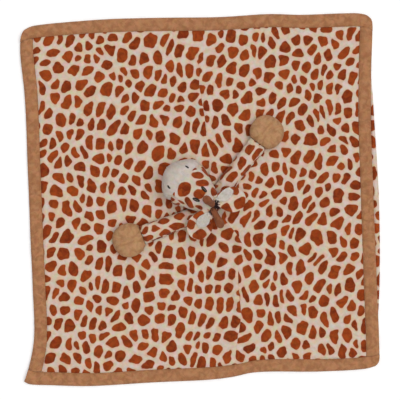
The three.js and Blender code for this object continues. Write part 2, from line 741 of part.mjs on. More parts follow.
// Each arm is a stuffed tube, flat where the neck seam holds it, that ends in a round paw. It is
// divided where it bends: at the shoulder and at the wrist.
const armForm = softForm({
  shares: armShares, start: 0, length: armLength, width: armWidth, height: armHeight,
  middleAt: (along, halfHeight) => limbUnder + halfHeight,
});
const pawForm = softForm({
  shares: pawShares, start: armLength + seamGap, length: pawLength, width: pawWidth, height: pawHeight,
  middleAt: (along, halfHeight) => {
    return limbUnder + THREE.MathUtils.lerp(halfHeight, pawHeight / 2, pawTipRiseShare);
  },
});

function arm(side) {
  const { rootAngle, direction } = arms[side];
  const group = new THREE.Group();
  const root = new THREE.Vector2(neckRadius + seatGap, 0)
    .rotateAround(new THREE.Vector2(), THREE.MathUtils.degToRad(rootAngle));
  group.position.set(neckX + root.x, neckY + root.y, 0);
  group.rotation.z = THREE.MathUtils.degToRad(direction);
  const toNeck = root.clone().negate().rotateAround(new THREE.Vector2(), -group.rotation.z);
  const neckRoom = post(
    neckRadius + seatGap, limbUnder - cutOverrun, limbUnder + armHeight + cutOverrun, toNeck.x, toNeck.y,
  );
  const shoulder = { from: 0, to: shoulderLength };
  const upperArm = { from: shoulderLength + seamGap, to: armLength };
  const tubeFilling = { letOut: -fillingDepth, closedStart: false, closedEnd: false, sides: 12 };
  const shoulderSleeve = sleeve(armForm, { ...shoulder, steps: 4, sides: 16 }).subtract(neckRoom);
  const shoulderCore = wholeForm(armForm, { ...shoulder, ...tubeFilling, steps: 3 }).subtract(neckRoom);
  const armCore = wholeForm(armForm, { ...upperArm, ...tubeFilling, steps: 4 });
  const pawPouch = pouch(pawForm, { closed: pawForm.end, open: pawForm.start, steps: 9, sides: 18 });
  const pawCore = wholeForm(pawForm, { letOut: -fillingDepth, closedStart: false, steps: 9, sides: 12 });
  group.add(
    piece(`${side}_shoulder_cover`, largest(shoulderSleeve), printPlush),
    piece(`${side}_shoulder_filling`, largest(shoulderCore), fibrefill),
    piece(`${side}_arm_cover`, sleeve(armForm, { ...upperArm, steps: 6, sides: 16 }), printPlush),
    piece(`${side}_arm_filling`, armCore, fibrefill),
    piece(`${side}_paw_cover`, pawPouch, tanPlush),
    piece(`${side}_paw_filling`, pawCore, fibrefill),
  );
  return group;
}

const toy = new THREE.Group();
toy.name = "comfort_blanket";
toy.add(backPanel(), frontPanel(), ...Object.keys(borderStrips).map(borderStrip), arm("left"), arm("right"));

const neckAndHead = new THREE.Group();
neckAndHead.position.set(neckX, neckY, 0);
neckAndHead.rotation.z = headTurn;
neckAndHead.add(
  ...neck(), ...headCovers(), ...face(), ...earPieces("left"), ...earPieces("right"), ...hornsAndTuft(),
);
toy.add(neckAndHead);

export default toy;
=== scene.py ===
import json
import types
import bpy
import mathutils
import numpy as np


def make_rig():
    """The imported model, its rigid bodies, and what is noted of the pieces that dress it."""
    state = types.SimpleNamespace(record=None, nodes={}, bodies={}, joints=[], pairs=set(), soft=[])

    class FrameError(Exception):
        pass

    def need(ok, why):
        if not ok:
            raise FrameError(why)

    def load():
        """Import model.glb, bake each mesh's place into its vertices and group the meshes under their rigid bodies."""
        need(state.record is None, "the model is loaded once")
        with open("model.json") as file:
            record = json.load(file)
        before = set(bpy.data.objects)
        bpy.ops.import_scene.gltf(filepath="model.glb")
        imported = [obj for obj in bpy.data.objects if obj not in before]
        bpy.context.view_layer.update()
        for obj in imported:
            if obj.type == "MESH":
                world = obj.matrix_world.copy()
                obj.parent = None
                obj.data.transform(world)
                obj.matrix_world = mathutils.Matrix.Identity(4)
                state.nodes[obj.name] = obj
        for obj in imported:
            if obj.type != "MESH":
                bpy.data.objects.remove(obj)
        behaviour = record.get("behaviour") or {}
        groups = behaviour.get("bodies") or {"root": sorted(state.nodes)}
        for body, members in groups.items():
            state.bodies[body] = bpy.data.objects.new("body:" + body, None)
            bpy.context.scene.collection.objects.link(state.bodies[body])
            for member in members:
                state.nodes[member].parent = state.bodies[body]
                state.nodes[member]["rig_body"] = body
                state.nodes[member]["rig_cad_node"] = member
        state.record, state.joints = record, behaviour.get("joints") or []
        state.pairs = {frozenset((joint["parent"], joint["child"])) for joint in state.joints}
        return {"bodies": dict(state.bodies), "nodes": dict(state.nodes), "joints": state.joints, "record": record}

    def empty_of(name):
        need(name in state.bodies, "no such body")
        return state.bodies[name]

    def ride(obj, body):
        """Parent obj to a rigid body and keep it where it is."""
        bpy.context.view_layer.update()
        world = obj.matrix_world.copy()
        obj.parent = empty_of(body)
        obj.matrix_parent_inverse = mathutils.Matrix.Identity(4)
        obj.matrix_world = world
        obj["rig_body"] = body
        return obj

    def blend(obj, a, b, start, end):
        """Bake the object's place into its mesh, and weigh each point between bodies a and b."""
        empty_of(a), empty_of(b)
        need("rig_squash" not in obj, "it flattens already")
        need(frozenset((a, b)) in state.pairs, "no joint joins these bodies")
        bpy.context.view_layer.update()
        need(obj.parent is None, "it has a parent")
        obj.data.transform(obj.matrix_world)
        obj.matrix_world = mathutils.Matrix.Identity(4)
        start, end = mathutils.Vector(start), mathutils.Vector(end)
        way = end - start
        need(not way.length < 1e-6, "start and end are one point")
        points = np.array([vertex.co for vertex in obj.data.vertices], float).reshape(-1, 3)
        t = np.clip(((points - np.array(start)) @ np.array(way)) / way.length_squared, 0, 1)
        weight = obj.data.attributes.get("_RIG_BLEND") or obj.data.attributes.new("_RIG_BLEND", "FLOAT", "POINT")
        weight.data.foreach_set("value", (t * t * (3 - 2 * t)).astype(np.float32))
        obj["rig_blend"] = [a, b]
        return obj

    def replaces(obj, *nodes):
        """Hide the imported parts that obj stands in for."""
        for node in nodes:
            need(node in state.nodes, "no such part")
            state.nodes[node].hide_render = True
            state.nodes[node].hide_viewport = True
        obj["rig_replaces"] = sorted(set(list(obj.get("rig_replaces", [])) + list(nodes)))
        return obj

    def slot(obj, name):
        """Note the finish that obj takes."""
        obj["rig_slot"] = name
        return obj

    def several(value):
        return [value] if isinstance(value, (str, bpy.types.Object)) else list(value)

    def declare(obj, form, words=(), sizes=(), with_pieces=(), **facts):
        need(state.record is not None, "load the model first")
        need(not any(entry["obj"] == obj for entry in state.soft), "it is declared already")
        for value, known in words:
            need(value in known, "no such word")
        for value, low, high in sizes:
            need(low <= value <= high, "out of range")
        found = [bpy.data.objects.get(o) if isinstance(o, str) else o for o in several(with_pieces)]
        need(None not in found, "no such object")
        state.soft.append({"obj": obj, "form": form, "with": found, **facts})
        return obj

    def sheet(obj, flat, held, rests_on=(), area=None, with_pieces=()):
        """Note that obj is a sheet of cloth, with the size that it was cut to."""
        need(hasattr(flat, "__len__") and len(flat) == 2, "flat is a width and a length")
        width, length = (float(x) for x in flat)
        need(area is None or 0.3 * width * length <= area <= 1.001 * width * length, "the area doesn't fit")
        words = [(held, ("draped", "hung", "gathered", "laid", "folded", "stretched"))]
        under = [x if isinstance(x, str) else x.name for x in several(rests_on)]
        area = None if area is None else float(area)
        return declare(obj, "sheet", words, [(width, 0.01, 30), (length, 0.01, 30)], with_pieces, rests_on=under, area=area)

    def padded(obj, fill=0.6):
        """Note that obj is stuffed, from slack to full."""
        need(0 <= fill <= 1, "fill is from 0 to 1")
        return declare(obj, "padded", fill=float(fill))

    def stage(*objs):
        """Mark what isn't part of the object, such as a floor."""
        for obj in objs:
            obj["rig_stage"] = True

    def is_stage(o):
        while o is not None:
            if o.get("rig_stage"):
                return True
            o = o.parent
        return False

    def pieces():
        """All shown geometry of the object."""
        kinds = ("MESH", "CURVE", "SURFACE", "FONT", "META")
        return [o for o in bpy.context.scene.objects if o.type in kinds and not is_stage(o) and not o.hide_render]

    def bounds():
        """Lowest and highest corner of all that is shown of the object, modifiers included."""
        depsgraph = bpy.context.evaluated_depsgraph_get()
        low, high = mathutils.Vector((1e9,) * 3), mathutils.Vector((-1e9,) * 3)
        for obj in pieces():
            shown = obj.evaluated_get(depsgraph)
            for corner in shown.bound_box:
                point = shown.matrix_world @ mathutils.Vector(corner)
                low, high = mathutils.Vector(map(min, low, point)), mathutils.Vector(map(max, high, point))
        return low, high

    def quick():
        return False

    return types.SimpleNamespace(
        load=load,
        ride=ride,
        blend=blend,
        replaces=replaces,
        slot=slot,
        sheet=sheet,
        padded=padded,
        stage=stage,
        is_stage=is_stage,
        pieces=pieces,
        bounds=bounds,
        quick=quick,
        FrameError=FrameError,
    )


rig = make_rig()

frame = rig.load()
cad_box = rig.bounds()

import json
import math

import bmesh
import bpy
import numpy as np
from mathutils import Vector, noise
from mathutils.bvhtree import BVHTree

# The camera looks straight down on the toy, as the photograph does. Its frame is 400 mm across where
# the blanket lies. A large soft lamp stands a little to the right, and the rest of the light comes
# evenly from all round. The table is white paper.
MM = 0.001
frame_width, frame_level = 400 * MM, 3.5 * MM
camera_lens, camera_sensor = 120, 36
camera_aside = (-0.5 * MM, -0.3 * MM)
lamp_share, lamp_spread = 0.6, 50
lamp_tilt = (math.radians(-3), math.radians(13), 0)
paper_white, paper_glow = 0.9, 0.14
table_reach, table_drop = 4, 0.4 * MM


def new_object(name, data):
    made = bpy.data.objects.new(name, data)
    bpy.context.scene.collection.objects.link(made)
    return made


camera = new_object("camera", bpy.data.cameras.new("camera"))
camera.data.lens = camera_lens
camera.data.sensor_width = camera_sensor
camera.location = (*camera_aside, frame_width * camera_lens / camera_sensor + frame_level)
bpy.context.scene.camera = camera

lamp = new_object("soft_lamp", bpy.data.lights.new("soft_lamp", "SUN"))
lamp.data.energy = math.pi * lamp_share / (math.cos(lamp_tilt[0]) * math.cos(lamp_tilt[1]))
lamp.data.angle = math.radians(lamp_spread)
lamp.rotation_euler = lamp_tilt

room = bpy.data.worlds.new("room")
room.use_nodes = True
room.node_tree.nodes["Background"].inputs["Color"].default_value = (1, 1, 1, 1)
room.node_tree.nodes["Background"].inputs["Strength"].default_value = 1 - lamp_share
bpy.context.scene.world = room
bpy.context.scene.view_settings.view_transform = "Standard"


def set_inputs(tree, node, inputs):
    """Gives the inputs of a node their values, and links those that are other nodes' outputs."""
    for key, value in inputs.items():
        if isinstance(value, bpy.types.NodeSocket):
            tree.links.new(value, node.inputs[key])
        else:
            node.inputs[key].default_value = value


def add_node(tree, kind, inputs=None, **settings):
    made = tree.nodes.new(kind)
    for key, value in settings.items():
        setattr(made, key, value)
    set_inputs(tree, made, inputs or {})
    return made


def calculate(tree, operation, first, second=0.5):
    return add_node(tree, "ShaderNodeMath", {0: first, 1: second}, operation=operation).outputs[0]


def times(tree, first, second):
    return calculate(tree, "MULTIPLY", first, second)


def new_material(name):
    made = bpy.data.materials.new(name)
    made.use_nodes = True
    return made, made.node_tree, made.node_tree.nodes["Principled BSDF"]


def paper_material():
    """White paper that looks a little brighter than it lights the toy."""
    made, tree, paper = new_material("white_paper")
    path = add_node(tree, "ShaderNodeLightPath").outputs
    seen = calculate(tree, "MAXIMUM", path["Is Camera Ray"], path["Is Glossy Ray"])
    seen = calculate(tree, "MAXIMUM", seen, path["Is Transmission Ray"])
    set_inputs(tree, paper, {
        "Base Color": (paper_white, paper_white, paper_white, 1), "Roughness": 1, "Specular IOR Level": 0,
        "Emission Color": (1, 1, 1, 1), "Emission Strength": times(tree, seen, paper_glow),
    })
    return made


table_mesh = bpy.data.meshes.new("table")
table_signs = ((-1, -1), (1, -1), (1, 1), (-1, 1))
table_corners = [(a * table_reach, b * table_reach, -table_drop) for a, b in table_signs]
table_mesh.from_pydata(table_corners, [], [(0, 1, 2, 3)])
table_mesh.materials.append(paper_material())
table = new_object("table", table_mesh)
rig.stage(table)

# The blanket's back layer: printed velour, cut as large as the whole blanket. It lies on the table,
# and along the right it rolls up past the border. Its edge is sewn to the border's outer edge.
blanket_size = np.array([361.0, 373.0])
cloth_thickness = 1.6
layer_gap = 0.3
border_width = 14.0
left_edge_shares = [
    (-0.978, -0.976), (-0.965, -0.945), (-0.924, -0.76), (-0.931, -0.46), (-0.942, -0.22),
    (-0.958, 0.17), (-0.975, 0.56), (-1, 0.8), (-0.994, 0.874), (-0.977, 0.911),
]
right_edge_shares = [
    (0.969, -0.893), (0.988, -0.867), (0.99, -0.75), (0.981, -0.54), (0.961, -0.03),
    (0.945, 0.42), (0.947, 0.7), (0.953, 0.92), (0.95, 0.955), (0.944, 0.973),
]
top_edge_shares = [
    (-0.977, 0.911), (-0.942, 0.928), (-0.845, 0.943), (-0.476, 0.97), (0.12, 0.981),
    (0.388, 0.996), (0.554, 0.992), (0.787, 1), (0.875, 1), (0.92, 0.991), (0.944, 0.973),
]
bottom_edge_shares = [
    (-0.978, -0.976), (-0.95, -0.989), (-0.831, -0.995), (-0.609, -1), (-0.277, -0.981),
    (0.055, -0.965), (0.188, -0.949), (0.277, -0.93), (0.388, -0.922), (0.665, -0.922),
    (0.92, -0.906), (0.969, -0.893),
]
lip_width, lip_height, lip_drop = 5.4, 1.5, 0.62
lip_from, lip_to = 0.15, 0.83
lip_steps = np.array([0, 0.08, 0.2, 0.4, 0.6, 0.8, 0.92, 1])
# How far a cloth edge falls as it rounds over, within what distance, and where its mesh is finer
edge_drop, edge_reach = 0.6, 0.8
edge_steps = (0, 0.12, 0.35, 0.7, 1.2, 2, 3.2, 5)
# The lines that the head and the arms lie along, above which the blanket stays flat
limb_lines = [((8, -2.5), (-34, 33)), ((5, -12), (-86, -46)), ((16, 3), (76, 80))]
# Long low waves of cloth that doesn't lie quite flat: direction, length and phase
cloth_waves = [(0.4, 118, 0.3), (1.3, 87, 2.1), (2.2, 141, 4.0), (2.9, 64, 1.2), (0.9, 53, 5.1)]
wave_lift, wave_spread, waves_between = 0.55, 2.2, (42, 80)


def smooth_path(knots, steps):
    """Points on a smooth curve through the knots."""
    knots = np.array(knots, float)
    line = np.vstack([2 * knots[0] - knots[1], knots, 2 * knots[-1] - knots[-2]])
    run = np.linspace(0, 1, steps, endpoint=False)[:, None]
    found = []
    for before, a, b, after in zip(line, line[1:], line[2:], line[3:]):
        gaps = [np.linalg.norm(q - p) ** 0.5 for p, q in ((before, a), (a, b), (b, after))]
        leave = (a - before) / gaps[0] - (b - before) / (gaps[0] + gaps[1]) + (b - a) / gaps[1]
        arrive = (b - a) / gaps[1] - (after - a) / (gaps[1] + gaps[2]) + (after - b) / gaps[2]
        slopes = (leave * gaps[1], arrive * gaps[1])
        found.append(
            (2 * run**3 - 3 * run**2 + 1) * a + (run**3 - 2 * run**2 + run) * slopes[0]
            + (3 * run**2 - 2 * run**3) * b + (run**3 - run**2) * slopes[1]
        )
    return np.vstack([*found, knots[-1:]])


def edge_line(shares):
    """A blanket edge, as a rule from the share of its length to the place."""
    path = smooth_path(np.array(shares) * blanket_size / 2, 24)
    reach = np.concatenate([[0], np.cumsum(np.linalg.norm(np.diff(path, axis=0), axis=1))])
    return lambda share: np.stack([np.interp(share * reach[-1], reach, c) for c in path.T], -1)


left_edge, right_edge = edge_line(left_edge_shares), edge_line(right_edge_shares)
top_edge, bottom_edge = edge_line(top_edge_shares), edge_line(bottom_edge_shares)


def on_blanket(across, along):
    """The place on the blanket at shares of its width and of its length."""
    across, along = np.broadcast_arrays(np.asarray(across, float), np.asarray(along, float))
    a, b = across[..., None], along[..., None]
    sides = left_edge(along) * (1 - a) + right_edge(along) * a
    ends = bottom_edge(across) * (1 - b) + top_edge(across) * b
    corners = (bottom_edge(0.0) * (1 - a) + bottom_edge(1.0) * a) * (1 - b)
    corners = corners + (top_edge(0.0) * (1 - a) + top_edge(1.0) * a) * b
    return sides + ends - corners


def ease(value, low, high):
    share = np.clip((value - low) / (high - low), 0, 1)
    return share * share * (3 - 2 * share)


def from_lines(x, y, lines):
    """How far a place is from the nearest of some lines."""
    nearest = np.full(np.shape(x), 1e6)
    for (ax, ay), (bx, by) in lines:
        run = ((x - ax) * (bx - ax) + (y - ay) * (by - ay)) / ((bx - ax) ** 2 + (by - ay) ** 2)
        run = np.clip(run, 0, 1)
        nearest = np.minimum(nearest, np.hypot(x - ax - run * (bx - ax), y - ay - run * (by - ay)))
    return nearest


def lie(x, y):
    """How far the blanket stands off the table, in long low waves."""
    wave = 0
    for way, length, phase in cloth_waves:
        wave = wave + np.sin(2 * np.pi * (x * np.cos(way) + y * np.sin(way)) / length + phase)
    away = from_lines(x, y, limb_lines)
    return wave_lift * (1 + wave / wave_spread).clip(0, None) * ease(away, *waves_between)


def roughness_at(x, y, size, seed):
    """A soft random height between -1 and 1, with lumps of about the size given."""
    flat = np.stack(np.broadcast_arrays(x, y), -1).reshape(-1, 2) / size
    found = [noise.noise(Vector((a, b, seed))) for a, b in flat]
    return np.reshape(found, np.shape(x))


def new_piece(name, points, faces, cloth, material):
    """A smooth piece from points in millimetres. cloth says where each face corner lies on the flat
    cloth, and goes into a UV map that is in metres."""
    mesh = bpy.data.meshes.new(name)
    mesh.from_pydata((np.asarray(points) * MM).tolist(), [], [list(map(int, f)) for f in faces])
    mesh.uv_layers.new(name="cloth").data.foreach_set("uv", (np.asarray(cloth)[:, :2] * MM).ravel())
    mesh.shade_smooth()
    mesh.materials.append(material)
    return new_object(name, mesh)


def grid_faces(spots):
    """The squares between neighbouring spots of a grid."""
    return np.stack([spots[:-1, :-1], spots[:-1, 1:], spots[1:, 1:], spots[1:, :-1]], -1).reshape(-1, 4)


def sheet_piece(name, places, under, over, cloth, material):
    """A layer of cloth between two heights over a grid of places, closed round its edge."""
    flat = np.asarray(places)[..., :2].reshape(-1, 2)
    points = np.vstack([np.column_stack([flat, level.ravel()]) for level in (under, over)])
    count = under.size
    spots = np.arange(count).reshape(under.shape)
    squares = grid_faces(spots)
    rim = np.concatenate([spots[0, :-1], spots[:-1, -1], spots[-1, :0:-1], spots[:0:-1, 0]])
    after = np.roll(rim, -1)
    side = np.stack([rim, after, after + count, rim + count], -1)
    faces = np.vstack([squares + count, squares[:, [0, 3, 2, 1]], side])
    corners = np.vstack([cloth.reshape(-1, 2)] * 2)[faces.ravel()]
    return new_piece(name, points, faces, corners, material)


def fine_ends(count, size, steps=edge_steps):
    """Shares from 0 to 1, evenly spaced but crowded near both ends, where a cloth edge rounds over."""
    close = np.array(steps) / size
    return np.concatenate([close, np.linspace(close[-1], 1 - close[-1], count)[1:-1], 1 - close[::-1]])


def fallen(distance, drop, reach):
    """How far a layer's face has fallen at a distance from its edge."""
    return drop * np.exp(-((distance / reach) ** 2))


# The print: rust-brown giraffe spots on cream. They are cells of a random honeycomb, a little longer
# up the blanket, with their corners rounded. The pile is brushed in patches, which mottles its colour.
spot_width, spot_length, spot_lean = 11.3, 14.9, math.radians(-13)
spot_spread, spot_rounding, corner_blur, spot_edge = 0.74, 0.15, 0.14, 0.088
# How far the rows of spots, the spots' edges and the edges of placed spots stray, in mm, and how fine
# the random pattern of each straying is, and of the brushed patches, the nap and the tint
spot_drift, spot_wobble, placed_wobble = 26, 5.5, 4
drift_scale, wobble_scale = 13, 95
patch_scale, nap_scale, tint_scale = 165, 1500, 210
cream_ground, pink_ground = (0.655, 0.55, 0.435, 1), (0.6, 0.455, 0.365, 1)
bright_rust, deep_rust = (0.36, 0.062, 0.008, 1), (0.15, 0.018, 0.003, 1)
bled_ground = (0.62, 0.34, 0.19, 1)


def mix_colours(tree, share, first, second, **settings):
    """A colour between two. The sockets of a colour mix go by number."""
    mix = add_node(tree, "ShaderNodeMix", {0: share, 6: first, 7: second}, data_type="RGBA", **settings)
    return mix.outputs[2]


def cloudy(tree, place, scale, detail, **more):
    """The outputs of a soft random pattern, by name."""
    inputs = {"Vector": place, "Scale": scale, "Detail": detail, **more}
    return add_node(tree, "ShaderNodeTexNoise", inputs).outputs


def in_range(tree, value, low, high, to_low=0.0, to_high=1.0, soft=False):
    """How far a value is from low to high, as a number from to_low to to_high."""
    return add_node(tree, "ShaderNodeMapRange", {
        "Value": value, "From Min": low, "From Max": high, "To Min": to_low, "To Max": to_high,
    }, interpolation_type="SMOOTHSTEP" if soft else "LINEAR").outputs["Result"]


def by_axes(tree, operation, first, second):
    return add_node(tree, "ShaderNodeVectorMath", {0: first, 1: second}, operation=operation).outputs[0]


def strayed(tree, place, pattern, reach):
    """A place moved along both axes of the cloth, as a random pattern has it, by half the reach at most."""
    move = by_axes(tree, "SUBTRACT", pattern, (0.5, 0.5, 0.5))
    move = by_axes(tree, "MULTIPLY", move, (reach * MM, reach * MM, 0))
    return by_axes(tree, "ADD", place, move)


def velour(name, light, dark, print_on=None, pile=1.0, tint=0.5, sheen=0.2):
    """Short-pile velour, brushed in patches. print_on adds the printed spots. tint is how much its
    colour drifts between pinkish and yellowish from tuft to tuft."""
    made, tree, surface = new_material(name)
    cloth = add_node(tree, "ShaderNodeUVMap", uv_map="cloth").outputs["UV"]
    brushed = cloudy(tree, cloth, patch_scale, 3, Roughness=0.6, Distortion=0.6)["Fac"]
    nap = cloudy(tree, cloth, nap_scale, 2, Roughness=0.7)["Fac"]
    shade = calculate(tree, "ADD", times(tree, brushed, 0.75), times(tree, nap, 0.25))
    shade = in_range(tree, shade, 0.36, 0.64, soft=True)
    colour = mix_colours(tree, shade, dark, light)
    if print_on:
        colour = print_on(tree, cloth, colour, shade)
    drift = cloudy(tree, cloth, tint_scale, 1.5)["Color"]
    channels = add_node(tree, "ShaderNodeSeparateColor", {"Color": drift}).outputs
    tints = [
        in_range(tree, channels[i], 0.25, 0.75, 1 - reach * tint, 1 + reach * tint)
        for i, reach in ((0, 0.13), (0, -0.065), (1, 0.2))
    ]
    tinted = add_node(tree, "ShaderNodeCombineColor", dict(enumerate(tints))).outputs[0]
    fine = add_node(tree, "ShaderNodeBump", {"Height": nap, "Strength": 0.5 * pile, "Distance": 0.5 * MM})
    coarse = add_node(tree, "ShaderNodeBump", {
        "Height": brushed, "Strength": 0.5 * pile, "Distance": 1.1 * MM, "Normal": fine.outputs["Normal"],
    })
    set_inputs(tree, surface, {
        "Base Color": mix_colours(tree, 1.0, colour, tinted, blend_type="MULTIPLY"),
        "Normal": coarse.outputs["Normal"], "Roughness": 0.95, "Specular IOR Level": 0.15,
        "Sheen Weight": sheen, "Sheen Roughness": 0.5, "Sheen Tint": (*[0.4 + 0.6 * c for c in light[:3]], 1),
    })
    return made


def placed_spots(tree, cloth, wobble, spots, clear_round):
    """How far inside one of the given spots a place is, and how far inside the round that they fill."""
    place = strayed(tree, cloth, wobble, placed_wobble)
    found = []
    for x, y, long, short, turn in (*spots, clear_round):
        on_spot = add_node(tree, "ShaderNodeMapping", {
            "Vector": place, "Location": (x * MM, y * MM, 0), "Rotation": (0, 0, math.radians(turn)),
            "Scale": (long * MM, short * MM, 1),
        }, vector_type="TEXTURE").outputs["Vector"]
        away = add_node(tree, "ShaderNodeVectorMath", {0: on_spot}, operation="LENGTH").outputs["Value"]
        found.append(times(tree, calculate(tree, "SUBTRACT", 1.0, away), short / spot_width))
    inside = found[0]
    for other in found[1:-1]:
        inside = calculate(tree, "MAXIMUM", inside, other)
    return inside, found[-1]


def giraffe_spots(tree, cloth, ground, shade, spots=(), clear_round=None):
    """Rust spots over the ground colour. Where a round is cleared, only the given spots are printed."""
    drift = cloudy(tree, cloth, drift_scale, 1)["Color"]
    wobble = cloudy(tree, cloth, wobble_scale, 1)["Color"]
    place = strayed(tree, strayed(tree, cloth, drift, spot_drift), wobble, spot_wobble)
    place = add_node(tree, "ShaderNodeMapping", {
        "Vector": place, "Rotation": (0, 0, spot_lean), "Scale": (spot_width * MM, spot_length * MM, 1),
    }, vector_type="TEXTURE").outputs["Vector"]
    cells = {"Vector": place, "Scale": 1.0, "Randomness": spot_spread}
    to_middle = add_node(tree, "ShaderNodeTexVoronoi", cells, voronoi_dimensions="2D", feature="F1")
    inside = times(tree, to_middle.outputs["Distance"], -spot_rounding)
    for turn in range(5):
        turn = 2 * math.pi * turn / 5
        cells["Vector"] = by_axes(
            tree, "ADD", place, (corner_blur * math.cos(turn), corner_blur * math.sin(turn), 0),
        )
        to_edge = add_node(
            tree, "ShaderNodeTexVoronoi", cells, voronoi_dimensions="2D", feature="DISTANCE_TO_EDGE",
        )
        inside = calculate(tree, "ADD", inside, times(tree, to_edge.outputs["Distance"], 0.2))
    if spots:
        placed, cleared = placed_spots(tree, cloth, wobble, spots, clear_round)
        cleared = times(tree, calculate(tree, "MAXIMUM", cleared, 0.0), 3.0)
        inside = calculate(tree, "SUBTRACT", inside, cleared)
        inside = calculate(tree, "MAXIMUM", inside, calculate(tree, "ADD", placed, spot_edge))
    bleed = in_range(tree, inside, spot_edge - 0.085, spot_edge - 0.01, to_high=0.6)
    printed = in_range(tree, inside, spot_edge - 0.02, spot_edge + 0.02, soft=True)
    dye = add_node(tree, "ShaderNodeSeparateColor", {"Color": to_middle.outputs["Color"]}).outputs[0]
    dye = calculate(tree, "ADD", times(tree, dye, 0.45), times(tree, shade, 0.55))
    ground = mix_colours(tree, bleed, ground, bled_ground)
    return mix_colours(tree, printed, ground, mix_colours(tree, dye, deep_rust, bright_rust))


print_look = {"tint": 1.0, "sheen": 0.15}
print_velour = velour("giraffe_print_velour", cream_ground, pink_ground, giraffe_spots, **print_look)

alongs = fine_ends(70, blanket_size[1])[:, None]
acrosses = fine_ends(64, blanket_size[0])[:-4][None, :]
flat_part = on_blanket(acrosses, alongs)
edge_at = on_blanket(1.0, alongs)[:, 0]
run = (alongs[:, 0] - lip_from) / (lip_to - lip_from)
lip = lip_width * np.sin(np.pi * np.clip(run, 0, 1)) ** 0.7
rolled = lip_height * ease(lip, lip_width / 4, lip_width / 2)
lip_part = np.stack([
    edge_at[:, :1] + 0.1 + (lip[:, None] - 0.1) * lip_steps, np.repeat(edge_at[:, 1:], len(lip_steps), 1),
], -1)
places = np.concatenate([flat_part, lip_part], 1)
flat_shape, lip_shape = flat_part.shape[:2], lip_part.shape[:2]
share_in = np.concatenate([np.broadcast_to(acrosses, flat_shape), np.ones(lip_shape)], 1)
past = np.concatenate([np.zeros(flat_shape), np.broadcast_to(lip_steps, lip_shape)], 1)
lift = lie(places[..., 0], places[..., 1]) * np.exp(-past * 3)
rise = rolled[:, None] * np.sin(np.pi * np.clip(past * 1.25, 0, 1) / 1.25) ** 0.9
rounding = np.maximum.reduce(np.broadcast_arrays(
    fallen(np.minimum(alongs, 1 - alongs) * blanket_size[1], edge_drop, edge_reach),
    fallen(share_in * blanket_size[0], edge_drop, edge_reach),
    lip_drop * ease(past, 0.75, 1),
))
under, over = lift + rounding, lift + cloth_thickness + rise - rounding * 0.8
back_layer = sheet_piece("back_layer", places, under, over, places, print_velour)
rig.ride(back_layer, "blanket")
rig.replaces(back_layer, "back_panel")
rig.sheet(back_layer, flat=tuple(blanket_size * MM), held="laid")
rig.slot(back_layer, "print_plush")

# The border: four folded strips of tan velour along the edges of the front. The far and near strips
# run the whole width, and the side strips lie between them. Each is crowned over its seam allowance.
strip_across, strip_along = border_width / blanket_size
seam_share = 1 + layer_gap / border_width
strip_under = cloth_thickness + layer_gap
blanket_top = strip_under + cloth_thickness
strip_crown, strip_outer_drop, strip_inner_drop, strip_end_drop = 0.95, 1.35, 0.85, 0.2
long_strip_flat, side_strip_flat = (0.36, 0.0155), (0.0155, 0.34)
light_tan, dark_tan = (0.455, 0.212, 0.098, 1), (0.325, 0.138, 0.06, 1)
# Small creases pressed into the strips near the corners: place, length, direction in degrees and depth
border_creases = [
    ((153, 174), 9, -70, 0.9), ((145, 180), 6, 20, 0.6), ((163, -159), 8, 60, 0.8),
    ((164, -166), 7, -35, 0.6), ((45, -168), 9, 80, 0.7), ((61, -166), 8, 65, 0.7),
    ((-137, -173), 9, 10, 0.8), ((-129, -176), 7, -25, 0.6), ((-174, 120), 8, 5, 0.5),
    ((170, 60), 8, -10, 0.5), ((-60, 176), 8, 85, 0.5), ((-172, -60), 8, 15, 0.5),
]
tan_velour = velour("tan_velour", light_tan, dark_tan, pile=1.3)


def creased(x, y):
    """How deep the small creases go at a place."""
    depth = np.zeros(np.shape(x))
    for (cx, cy), length, way, deep in border_creases:
        way = math.radians(way)
        along = (x - cx) * math.cos(way) + (y - cy) * math.sin(way)
        beside = -(x - cx) * math.sin(way) + (y - cy) * math.cos(way)
        depth += deep * np.exp(-((along / (length / 2)) ** 2) - (beside / 1.3) ** 2)
    return depth


def border_strip(side, across, along, depth, run_length):
    """One strip. depth is the share of its width in from the blanket's edge."""
    places = on_blanket(across, along)
    x, y = places[..., 0], places[..., 1]
    outer, inner = depth * border_width, (1 - depth) * border_width
    pucker = np.sin(run_length / 1.25 + 2.2 * roughness_at(x, y, 14, 3.0))
    crown = np.sin(np.pi * depth)
    over = blanket_top + strip_crown * crown
    # At its ends a far or near strip meets a side strip, and its edge there barely shows
    at_end = side in ("top", "bottom") and np.minimum(across, 1 - across) < strip_across
    inner_drop = np.where(at_end, strip_end_drop, strip_inner_drop)
    over = over - fallen(outer, strip_outer_drop, 1.3) - fallen(inner, inner_drop, 1.1)
    over = over + 0.2 * pucker * np.exp(-inner / 3) + 0.22 * roughness_at(x, y, 9, 5.0) * crown
    over = np.maximum(over - creased(x, y), strip_under + 0.25)
    lift = lie(x, y)
    under = np.full(over.shape, strip_under + 0.1)
    strip = sheet_piece(f"border_{side}_strip", places, lift + under, lift + over, places, tan_velour)
    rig.ride(strip, "blanket")
    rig.replaces(strip, f"border_{side}")
    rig.slot(strip, "tan_plush")
    return strip


